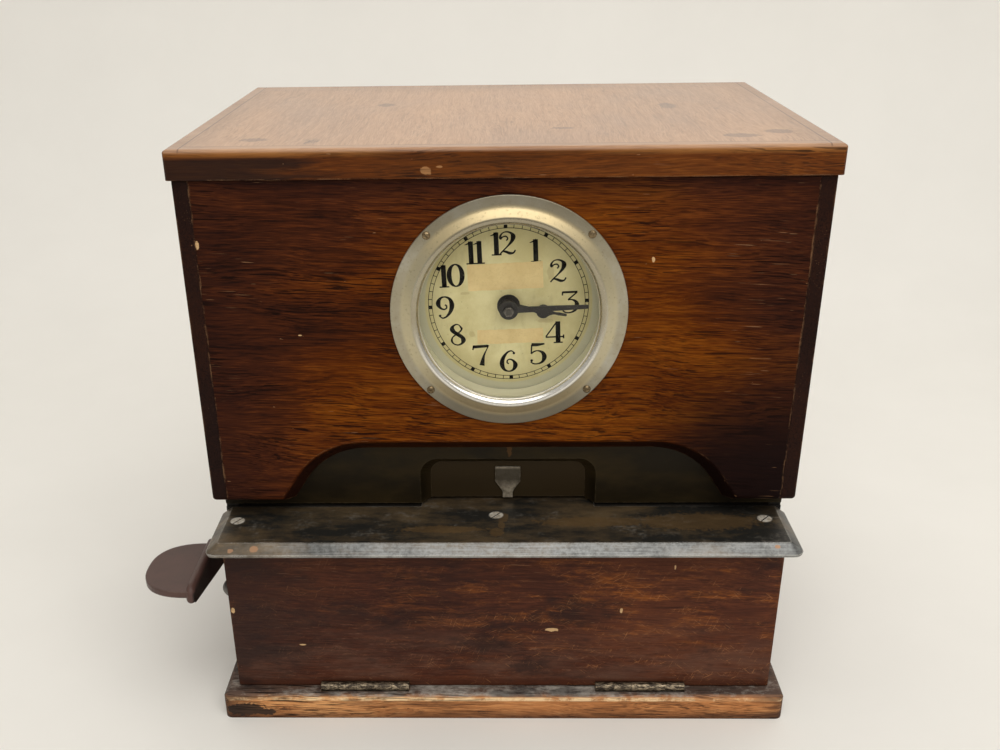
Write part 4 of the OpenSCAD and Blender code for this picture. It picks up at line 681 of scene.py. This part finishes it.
def lever_paint():
    """Pad painted dark brown and rubbed at its rim, on a black arm."""
    s = Shader("lever_paint")
    x, z = s.axes()[::2]
    low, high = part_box("print_lever")
    arm_x = low.x + 40 * MM
    cloud = s.noise(70, 5.0, 0.6)
    grit = s.noise(420, 3.0, 0.6)
    colour = s.mix(s.span(cloud, 0.35, 0.65), (0.070, 0.036, 0.029), (0.096, 0.051, 0.042))
    soft = s.bevel(1.5)
    rim = s.times(s.edge(soft, 0.02, 0.3), s.span(cloud, 0.35, 0.55))
    colour = s.tint(colour, (0.25, 0.19, 0.16), 0.55, rim)
    arm = s.times(s.past(x, arm_x, -1.6, -0.4), s.past(z, high.z, -5.5, -4.0, 1.0, 0.0))
    arm = s.most(arm, s.past(x, arm_x, -0.1, 0.1))
    colour = s.tint(colour, (0.008, 0.006, 0.005), 0.95, arm)
    return s.finish(
        Base_Color=colour, Roughness=s.span(cloud, 0.3, 0.7, 0.34, 0.46),
        Normal=s.bump(grit, 0.06, normal=soft), Specular_IOR_Level=0.3,
    )


def clear_glass():
    s = Shader("clear_glass")
    return s.finish("BsdfGlass", Color=(1.0, 0.995, 0.985), Roughness=0.02, IOR=1.06)


def ribbon_cloth():
    s = Shader("ribbon_cloth")
    warp = s.wave(s.scaled((1, 0, 0)), 900)
    weft = s.wave(s.scaled((0, 0, 1), (math.pi / 2, 0, 0)), 900)
    weave = s.times(warp, weft)
    ink = s.noise(60, 3.0)
    colour = s.mix(s.span(ink, 0.35, 0.65), (0.012, 0.010, 0.030), (0.035, 0.028, 0.075))
    return s.finish(Base_Color=colour, Roughness=0.85, Normal=s.bump(weave, 0.3, 0.2))


black_paint = plain("black_paint", (0.012, 0.011, 0.010), (0.026, 0.023, 0.020), 0.38)
ink_black = plain("ink_black", (0.006, 0.0055, 0.005), (0.014, 0.013, 0.011), 0.7, Specular_IOR_Level=0.15)
brass = metal("brass", (0.66, 0.46, 0.17), (0.42, 0.28, 0.10), 0.32, 0.6)
steel = metal("steel", (0.50, 0.48, 0.45), (0.30, 0.27, 0.23), 0.32, 0.5)
screw_steel = metal("screw_steel", (0.24, 0.175, 0.095), (0.035, 0.023, 0.012), 0.28, 0.95, 0.8, 420)
# The nut's pale edges are painted highlights.
nut_steel = metal(
    "nut_steel", (0.16, 0.15, 0.135), (0.05, 0.045, 0.038), 0.28, 0.7, 0.8, 420,
    edge_wear_and_highlight=(0.50, 0.46, 0.39),
)
hinge_metal = hinge_finish()
lock_metal = metal("lock_metal", (0.16, 0.15, 0.14), (0.07, 0.062, 0.055), 0.36, 0.7)
iron = metal(
    "iron", (0.03, 0.028, 0.026), (0.055, 0.042, 0.032), 0.45, 0.7, 0.4, edge_wear_and_highlight=(0.22, 0.19, 0.15),
)
lever_metal = lever_paint()
coil_wrap = plain("coil_wrap", (0.15, 0.045, 0.018), (0.24, 0.08, 0.03), 0.45)
bed_paint = plain("bed_paint", (0.010, 0.009, 0.008), (0.024, 0.020, 0.016), 0.6, Specular_IOR_Level=0.2)
rubber = plain("rubber", (0.014, 0.014, 0.014), (0.030, 0.029, 0.028), 0.7)
bakelite = plain("bakelite", (0.022, 0.012, 0.008), (0.05, 0.026, 0.017), 0.35)
bezel_shine = bezel_metal()
FINISH = {
    hood_wood: "hood_front",
    side_wood: "hood_left hood_right case_left case_right",
    raw_wood: "hood_back case_back",
    lid_wood: "lid",
    flap_wood: "front_flap",
    plinth_wood: "plinth",
    tray_metal(): "card_tray",
    throat_metal(): "throat_plate",
    bezel_shine: "bezel glass_ring",
    dial_paint(): "dial",
    clear_glass(): "glass",
    hinge_metal: "flap_hinge_fixed flap_hinge_moving flap_hinge_pins"
                 " lid_hinge_fixed lid_hinge_moving lid_hinge_pins",
    lock_metal: "lock_barrel lock_tongue lock_keeper",
    bed_paint: "bed",
    iron: "shaft_bracket striker_crank hammer hammer_bracket spool_left spool_right",
    lever_metal: "print_lever",
    pointer_finish(): "pointer",
    screw_metal(): "tray_screws",
    screw_steel: "bezel_screws",
    nut_steel: "hand_nut",
    black_paint: "minute_hand hour_hand",
    arbor_metal(): "centre_wheel cannon_pinion hour_wheel",
    brass: "front_plate back_plate minute_wheel transfer_wheel lever_bush"
           " minute_type_wheel hour_type_wheel reduction_wheel",
    steel: "plate_pillars armature type_arbor lever_shaft",
    coil_wrap: "drive_magnet",
    rubber: "platen",
    bakelite: "inlet_bush terminal_block",
}
for finish, names in FINISH.items():
    for name in names.split():
        data = NODES[name].data
        data.materials.clear()
        data.materials.append(finish)


# Mesh helpers
CURVE_STEPS = 7
DOT_CORE, DOT_SIDES = 0.0004 * MM, 14


def piece(name, verts, faces, finish, body, smooth=False):
    mesh = bpy.data.meshes.new(name)
    mesh.from_pydata([Vector(v) for v in verts], [], faces)
    work = bmesh.new()
    work.from_mesh(mesh)
    bmesh.ops.recalc_face_normals(work, faces=work.faces)
    work.to_mesh(mesh)
    work.free()
    if smooth:
        mesh.polygons.foreach_set("use_smooth", [True] * len(mesh.polygons))
    mesh.materials.append(finish)
    made = bpy.data.objects.new(name, mesh)
    bpy.context.scene.collection.objects.link(made)
    if body:
        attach(made, body)
    return made


class Flat:
    """Thin shapes printed on the dial's face, as closed slabs, turned about its centre."""

    def __init__(self, turn_deg, thick):
        self.origin, self.thick = Vector((DIAL_X, DIAL_FACE, DIAL_Z)), thick
        self.cos, self.sin = math.cos(math.radians(turn_deg)), math.sin(math.radians(turn_deg))
        self.verts, self.faces = [], []

    def point(self, p, back):
        x = p[0] * self.cos - p[1] * self.sin
        z = p[0] * self.sin + p[1] * self.cos
        return self.origin + Vector((x, 0.0 if back else -self.thick, z))

    def strip(self, left, right, closed=False):
        n, at = len(left), len(self.verts)
        for a, b in zip(left, right):
            self.verts += [self.point(a, 0), self.point(b, 0), self.point(a, 1), self.point(b, 1)]
        for i in range(n if closed else n - 1):
            p, q = at + 4 * i, at + 4 * ((i + 1) % n)
            for a, b in ((0, 1), (1, 3), (3, 2), (2, 0)):
                self.faces.append((p + a, p + b, q + b, q + a))
        if not closed:
            for p in (at, at + 4 * (n - 1)):
                self.faces.append((p, p + 1, p + 3, p + 2))

    def ring(self, r0, r1, n=180, centre=(0, 0)):
        turns = [math.radians(360 * i / n) for i in range(n)]
        at = [[(centre[0] + r * math.cos(a), centre[1] + r * math.sin(a)) for a in turns] for r in (r0, r1)]
        self.strip(at[0], at[1], True)

    def stroke(self, points, place, size):
        """A pen stroke: (x, y, half width) points, drawn as a smooth ribbon."""
        path = [Vector(p) for p in points]
        if len(path) > 2:
            path = rounded(path, CURVE_STEPS)
        left, right = [], []
        for i, p in enumerate(path):
            ahead = path[min(i + 1, len(path) - 1)] - path[max(i - 1, 0)]
            n = Vector((-ahead.y, ahead.x)).normalized() * p.z
            for side, sign in ((left, 1), (right, -1)):
                side.append((place[0] + size * (p.x + sign * n.x), place[1] + size * (p.y + sign * n.y)))
        self.strip(left, right)

    def dot(self, centre, r, place, size):
        at = (place[0] + size * centre[0], place[1] + size * centre[1])
        self.ring(DOT_CORE, r * size, DOT_SIDES, at)


def rounded(path, steps):
    """Points on a smooth curve through the given ones."""
    out = []
    for i in range(len(path) - 1):
        a, b = path[max(i - 1, 0)], path[i]
        c, d = path[i + 1], path[min(i + 2, len(path) - 1)]
        for k in range(steps):
            t = k / steps
            near = 2 * b + (c - a) * t + (2 * a - 5 * b + 4 * c - d) * t * t
            out.append(0.5 * (near + (3 * b - 3 * c + d - a) * t ** 3))
    return out + [path[-1]]


# Dial
THICK, HAIR = 0.104, 0.032
SERIF = 0.028
OVAL = []
for degrees in range(0, 361, 15):
    a = math.radians(degrees)
    half = HAIR + (THICK - HAIR) * abs(math.cos(a)) ** 1.6
    OVAL.append((0.42 + 0.28 * math.cos(a), 0.5 + 0.475 * math.sin(a), half))
# Each figure: its width, its strokes as (x, y, half width) in units of its height, and its ball ends
FIGURES = {
    "0": (0.80, [OVAL], []),
    "1": (0.46, [
        [(0.27, 0.02, THICK), (0.27, 0.97, THICK)],
        [(0.30, 0.97, 0.030), (0.19, 0.89, 0.035), (0.02, 0.83, 0.012)],
        [(0.06, 0.015, SERIF), (0.48, 0.015, SERIF)],
    ], []),
    "2": (0.74, [
        [(0.34, 0.60, HAIR), (0.40, 0.70, HAIR), (0.32, 0.79, HAIR), (0.18, 0.76, 0.030),
         (0.10, 0.70, 0.050), (0.09, 0.80, 0.045), (0.20, 0.94, 0.025), (0.38, 0.975, HAIR),
         (0.55, 0.91, 0.050), (0.63, 0.77, THICK), (0.57, 0.58, 0.070), (0.38, 0.36, 0.034),
         (0.16, 0.15, HAIR), (0.04, 0.02, HAIR)],
        [(0.05, 0.03, HAIR), (0.16, 0.14, 0.026), (0.30, 0.13, 0.050), (0.47, 0.06, 0.060),
         (0.62, 0.07, 0.038), (0.71, 0.19, HAIR)],
    ], []),
    "3": (0.78, [
        [(0.10, 0.94, 0.045), (0.74, 0.94, 0.045)],
        [(0.10, 0.97, HAIR), (0.09, 0.80, HAIR)],
        [(0.72, 0.92, HAIR), (0.33, 0.60, HAIR)],
        [(0.33, 0.60, HAIR), (0.50, 0.60, 0.030), (0.66, 0.51, 0.065), (0.71, 0.34, THICK),
         (0.63, 0.13, 0.060), (0.43, 0.025, HAIR), (0.22, 0.035, HAIR), (0.09, 0.13, 0.030)],
    ], [((0.125, 0.185), 0.062)]),
    "4": (0.80, [
        [(0.56, 0.02, THICK), (0.56, 0.98, THICK)],
        [(0.52, 0.97, 0.030), (0.03, 0.30, HAIR)],
        [(0.02, 0.275, HAIR), (0.80, 0.275, HAIR)],
        [(0.80, 0.19, HAIR), (0.80, 0.37, HAIR)],
        [(0.36, 0.015, SERIF), (0.76, 0.015, SERIF)],
    ], []),
    "5": (0.78, [
        [(0.14, 0.92, 0.075), (0.40, 0.915, 0.070), (0.71, 0.945, 0.035)],
        [(0.145, 0.93, HAIR), (0.115, 0.50, HAIR)],
        [(0.115, 0.50, HAIR), (0.24, 0.60, HAIR), (0.42, 0.63, 0.030), (0.61, 0.54, 0.070),
         (0.69, 0.34, THICK), (0.60, 0.12, 0.060), (0.40, 0.025, HAIR), (0.20, 0.035, HAIR),
         (0.08, 0.13, 0.030)],
    ], [((0.125, 0.185), 0.062)]),
    "6": (0.80, [
        [(0.66, 0.90, 0.020), (0.54, 0.975, HAIR), (0.36, 0.90, 0.045), (0.18, 0.66, 0.080),
         (0.115, 0.38, THICK), (0.20, 0.13, 0.065), (0.40, 0.025, HAIR), (0.60, 0.09, 0.055),
         (0.705, 0.30, THICK), (0.63, 0.50, 0.055), (0.47, 0.585, HAIR), (0.36, 0.53, HAIR),
         (0.35, 0.43, HAIR), (0.42, 0.38, HAIR)],
    ], [((0.655, 0.865), 0.055)]),
    "7": (0.76, [
        [(0.06, 0.90, 0.070), (0.72, 0.92, 0.060)],
        [(0.07, 0.97, HAIR), (0.035, 0.76, HAIR)],
        [(0.73, 0.95, HAIR), (0.64, 0.76, 0.024), (0.50, 0.46, 0.050), (0.40, 0.02, 0.115)],
    ], []),
    "8": (0.74, [
        [(0.57, 0.80, 0.045), (0.48, 0.93, 0.024), (0.36, 0.97, HAIR), (0.22, 0.90, 0.050),
         (0.165, 0.76, THICK), (0.25, 0.62, 0.085), (0.42, 0.50, 0.085), (0.58, 0.37, 0.085),
         (0.63, 0.24, THICK), (0.55, 0.09, 0.050), (0.38, 0.025, HAIR), (0.20, 0.09, 0.030),
         (0.12, 0.24, 0.045), (0.17, 0.39, 0.030), (0.32, 0.51, HAIR), (0.48, 0.62, HAIR),
         (0.58, 0.74, 0.036), (0.57, 0.82, 0.045)],
    ], []),
}
six_w, six_strokes, six_balls = FIGURES["6"]
FIGURES["9"] = (
    six_w,
    [[(six_w - x, 1 - y, w) for x, y, w in stroke] for stroke in six_strokes],
    [((six_w - c[0], 1 - c[1]), r) for c, r in six_balls],
)

DIAL_TURN = 2.3
FIGURE_H = 14.5 * MM
FIGURE_RING = 39.6 * MM
TRACK = (47.9 * MM, 50.2 * MM)
# How far each hour stands from an even ring, across and up, in mm
NUDGE = {
    1: (-2.5, -1), 2: (-3, 0), 3: (-1.5, -0.5), 4: (-6, 0), 5: (-2.5, 0.5), 6: (-1.5, 1.5),
    7: (1, 1), 8: (1, 1), 9: (0, -0.5), 10: (-0.6, 0), 11: (0, -0.5), 12: (-2, -1),
}
TIGHT = 0.10
INK_T, LABEL_T = 0.05 * MM, 0.10 * MM
LINE_HALF, MINUTE_HALF, FIVE_HALF = 0.19 * MM, 0.22 * MM, 1.15 * MM

ink = Flat(DIAL_TURN, INK_T)
for hour in range(1, 13):
    word = str(hour)
    angle = math.radians(90 - 30 * hour)
    width = sum(FIGURES[c][0] for c in word) - (TIGHT if len(word) > 1 else 0.0)
    x = FIGURE_RING * math.cos(angle) - 0.5 * width * FIGURE_H + NUDGE[hour][0] * MM
    z = FIGURE_RING * math.sin(angle) - 0.5 * FIGURE_H + NUDGE[hour][1] * MM
    for c in word:
        w, strokes, balls = FIGURES[c]
        for stroke in strokes:
            ink.stroke(stroke, (x, z), FIGURE_H)
        for centre, r in balls:
            ink.dot(centre, r, (x, z), FIGURE_H)
        x += (w - TIGHT) * FIGURE_H
for r in TRACK:
    ink.ring(r - LINE_HALF, r + LINE_HALF)
for minute in range(60):
    half = FIVE_HALF if minute % 5 == 0 else MINUTE_HALF
    a = math.radians(90 - 6 * minute)
    out, over = Vector((math.cos(a), math.sin(a))), Vector((-math.sin(a), math.cos(a)))
    ends = [out * r for r in TRACK]
    ink.strip([e + over * half for e in ends], [e - over * half for e in ends])
piece("dial_figures", ink.verts, ink.faces, ink_black, "case")

# Blank labels: left, right, foot and top in mm from the dial's centre, and lean in degrees
LABELS = {
    "label_upper": (-24.6, 22.2, 9.4, 26.2, 0.3),
    "label_lower": (-20.4, 21.4, -26.0, -16.6, -0.4),
}
LABEL_STEPS = 24
label_paper = paper()
for name, (x0, x1, z0, z1, lean) in LABELS.items():
    label = Flat(DIAL_TURN + lean, LABEL_T)
    top, foot = [], []
    for i in range(LABEL_STEPS + 1):
        x = MM * (x0 + (x1 - x0) * i / LABEL_STEPS)
        top.append((x, MM * (z1 + 0.12 * math.sin(i * 1.7) + 0.08 * math.sin(i * 0.6))))
        foot.append((x, MM * (z0 + 0.10 * math.sin(i * 1.3 + 2) + 0.08 * math.sin(i * 0.5))))
    label.strip(top, foot)
    piece(name, label.verts, label.faces, label_paper, "case")


# Bezel
def arc(centre, r, a0, a1, n):
    turns = [math.radians(a0 + (a1 - a0) * i / n) for i in range(n + 1)]
    return [(centre[0] + r * math.cos(a), centre[1] + r * math.sin(a)) for a in turns]


def lathe(profile, centre, around):
    """A closed profile of (radius, height in front of the panel) in mm, turned about the dial's axis."""
    verts, faces, n = [], [], len(profile)
    for k in range(around):
        a = 2 * math.pi * k / around
        verts += [centre + Vector((r * math.cos(a), -h, r * math.sin(a))) * MM for r, h in profile]
        step = (k + 1) % around
        faces += [(k * n + i, k * n + (i + 1) % n, step * n + (i + 1) % n, step * n + i) for i in range(n)]
    return verts, faces


# Flat flange, cone, rounded inner edge and a thin lip over the glass; the sleeve runs back to the dial
FLANGE_T, EDGE_R = 1.5, 0.45
ROUND_AT, ROUND_R, SLOPE = (58.9, 0.9), 3.4, 24
FOOT_AT, FOOT_R = (67.6, 9.5), 8.0
LIP_R, LIP_H, LIP_T = 55.1, 1.4, 0.16
SEAT_R, SEAT_H, SLEEVE_R = 57.2, 0.85, 58.6
AROUND, SHARP = 192, math.radians(30)
bezel_low, bezel_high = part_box("bezel")
bezel_r = (bezel_high.x - bezel_low.x) / 2 / MM
sleeve_back = (HOOD_FACE - bezel_high.y) / MM
bezel_profile = [(bezel_r, 0.0)] + arc((bezel_r - EDGE_R, FLANGE_T - EDGE_R), EDGE_R, 0, 90, 5)
bezel_profile += arc(FOOT_AT, FOOT_R, -90, -90 - SLOPE, 8) + arc(ROUND_AT, ROUND_R, 90 - SLOPE, 172, 18)
bezel_profile += [(LIP_R, LIP_H), (LIP_R, LIP_H - LIP_T), (SEAT_R, SEAT_H)]
bezel_profile += [(SEAT_R, sleeve_back), (SLEEVE_R, sleeve_back), (SLEEVE_R, 0.0)]
verts, faces = lathe(bezel_profile, Vector((DIAL_X, HOOD_FACE, DIAL_Z)), AROUND)
bezel_ring = piece("bezel_ring", verts, faces, bezel_shine, "case", True)
bezel_ring.data.set_sharp_from_angle(angle=SHARP)
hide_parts("bezel")


# Return spring and ink ribbon
def tube(path, r, sides=12):
    """A round tube along a path, closed at both ends."""
    verts, faces = [], []
    side = Vector((1, 0, 0))
    for i, p in enumerate(path):
        d = (path[min(i + 1, len(path) - 1)] - path[max(i - 1, 0)]).normalized()
        side = (side - d * side.dot(d)).normalized()
        over = d.cross(side)
        for k in range(sides):
            a = 2 * math.pi * k / sides
            verts.append(p + r * (math.cos(a) * side + math.sin(a) * over))
    for i in range(len(path) - 1):
        for k in range(sides):
            m = (k + 1) % sides
            faces.append((i * sides + k, i * sides + m, (i + 1) * sides + m, (i + 1) * sides + k))
    faces.append(tuple(range(sides)))
    faces.append(tuple(len(path) * sides - 1 - k for k in range(sides)))
    return verts, faces


SPRING_TURNS, SPRING_R, WIRE_R, PER_TURN = 12, 4 * MM, 0.7 * MM, 24
END_TURNS, SPRING_HOLD = 0.75, 2 * MM
spring_low, spring_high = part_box("return_spring")
spring_mid = (spring_low + spring_high) / 2
spring_path = [Vector((spring_mid.x, spring_mid.y, spring_low.z))]
for i in range(SPRING_TURNS * PER_TURN + 1):
    t = i / (SPRING_TURNS * PER_TURN)
    reach = SPRING_R * min(1.0, t * SPRING_TURNS / END_TURNS, (1 - t) * SPRING_TURNS / END_TURNS)
    a = 2 * math.pi * i / PER_TURN
    z = spring_low.z + 2 * WIRE_R + t * (spring_high.z - spring_low.z - 4 * WIRE_R)
    x, y = spring_mid.x + reach * math.cos(a), spring_mid.y + reach * math.sin(a)
    spring_path.append(Vector((x, y, z)))
spring_path.append(Vector((spring_mid.x, spring_mid.y, spring_high.z)))
verts, faces = tube(spring_path, WIRE_R)
spring = piece("spring_wire", verts, faces, steel, None, True)
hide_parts("return_spring")
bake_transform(spring)

ribbon_low, ribbon_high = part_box("ink_ribbon")
mid_x = (ribbon_low.x + ribbon_high.x) / 2
GUIDE_X, RIBBON_T, RIBBON_LIFT, END_DROP = 27 * MM, 0.12 * MM, 0.06 * MM, 0.3 * MM
RIBBON_STEPS = 16
half_w = (ribbon_high.x - ribbon_low.x) / 2
end_z = ribbon_high.z - END_DROP
profile = [(-half_w, end_z), (-GUIDE_X, ribbon_low.z), (GUIDE_X, ribbon_low.z), (half_w, end_z)]
line = []
for (x0, z0), (x1, z1) in zip(profile, profile[1:]):
    for k in range(RIBBON_STEPS):
        line.append((x0 + (x1 - x0) * k / RIBBON_STEPS, z0 + (z1 - z0) * k / RIBBON_STEPS))
line.append(profile[-1])
verts, faces = [], []
for x, z in line:
    for y in (ribbon_low.y, ribbon_high.y):
        for dz in (RIBBON_LIFT, RIBBON_LIFT + RIBBON_T):
            verts.append((mid_x + x, y, z + dz))
for i in range(len(line) - 1):
    p, q = 4 * i, 4 * i + 4
    for a, b in ((0, 2), (2, 3), (3, 1), (1, 0)):
        faces.append((p + a, p + b, q + b, q + a))
faces += [(0, 1, 3, 2), tuple(4 * (len(line) - 1) + k for k in (0, 2, 3, 1))]
ribbon = piece("ribbon_strip", verts, faces, ribbon_cloth(), "case")
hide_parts("ink_ribbon")


# Stage and light
def floor_paper():
    """Pale matt paper with a faint cloud."""
    s = Shader("floor_paper")
    cloud = s.noise(6, 5.0, 0.6)
    colour = s.mix(s.span(cloud, 0.35, 0.65), (0.85, 0.835, 0.80), (0.87, 0.855, 0.82))
    gloss = s.span(cloud, 0.3, 0.7, 0.74, 0.88)
    return s.finish(Base_Color=colour, Roughness=gloss, Normal=s.bump(cloud, 0.08))


# Floor and wall in metres, joined by a wide bend behind the object
FLOOR_FRONT, BEND_AT, BEND_R, WALL_TOP, STAGE_HALF = -3.0, 0.55, 0.5, 3.0, 3.5
profile = [(FLOOR_FRONT, 0.0), (BEND_AT, 0.0)]
for degrees in range(10, 91, 10):
    a = math.radians(degrees)
    profile.append((BEND_AT + BEND_R * math.sin(a), BEND_R - BEND_R * math.cos(a)))
profile.append((BEND_AT + BEND_R, WALL_TOP))
verts = [(x, y, z) for y, z in profile for x in (-STAGE_HALF, STAGE_HALF)]
faces = [(2 * i, 2 * i + 1, 2 * i + 3, 2 * i + 2) for i in range(len(profile) - 1)]
backdrop = piece("backdrop", verts, faces, floor_paper(), None, True)

SKY_COLOUR, SKY_STRENGTH = (1.0, 0.965, 0.90, 1.0), 0.41
LIGHT_COLOUR = (1.0, 0.97, 0.92)
world = bpy.data.worlds.new("world")
bpy.context.scene.world = world
world.use_nodes = True
sky = world.node_tree.nodes["Background"]
sky.inputs["Color"].default_value = SKY_COLOUR
sky.inputs["Strength"].default_value = SKY_STRENGTH


def softbox(name, at, aim, size, power):
    data = bpy.data.lights.new(name, "AREA")
    data.shape = "RECTANGLE"
    data.size, data.size_y = size
    data.energy = power
    data.color = LIGHT_COLOUR
    lamp = bpy.data.objects.new(name, data)
    lamp.location = at
    lamp.rotation_euler = (Vector(aim) - Vector(at)).to_track_quat("-Z", "Y").to_euler()
    bpy.context.scene.collection.objects.link(lamp)


# Place, aim and size in metres, and power in watts
softbox("light_key", (0.32, -1.40, 1.95), (0, -0.1, 0.2), (2.4, 1.8), 35)
softbox("light_top", (0.1, 0.1, 1.8), (0, 0, 0.2), (1.9, 1.2), 5)
softbox("light_wall", (-0.6, 0.2, 2.2), (-0.2, 1.05, 0.7), (2.4, 0.6), 1)
softbox("light_back", (0.0, 1.0, 0.95), (0, -0.1, 0.4), (2.6, 0.7), 2)
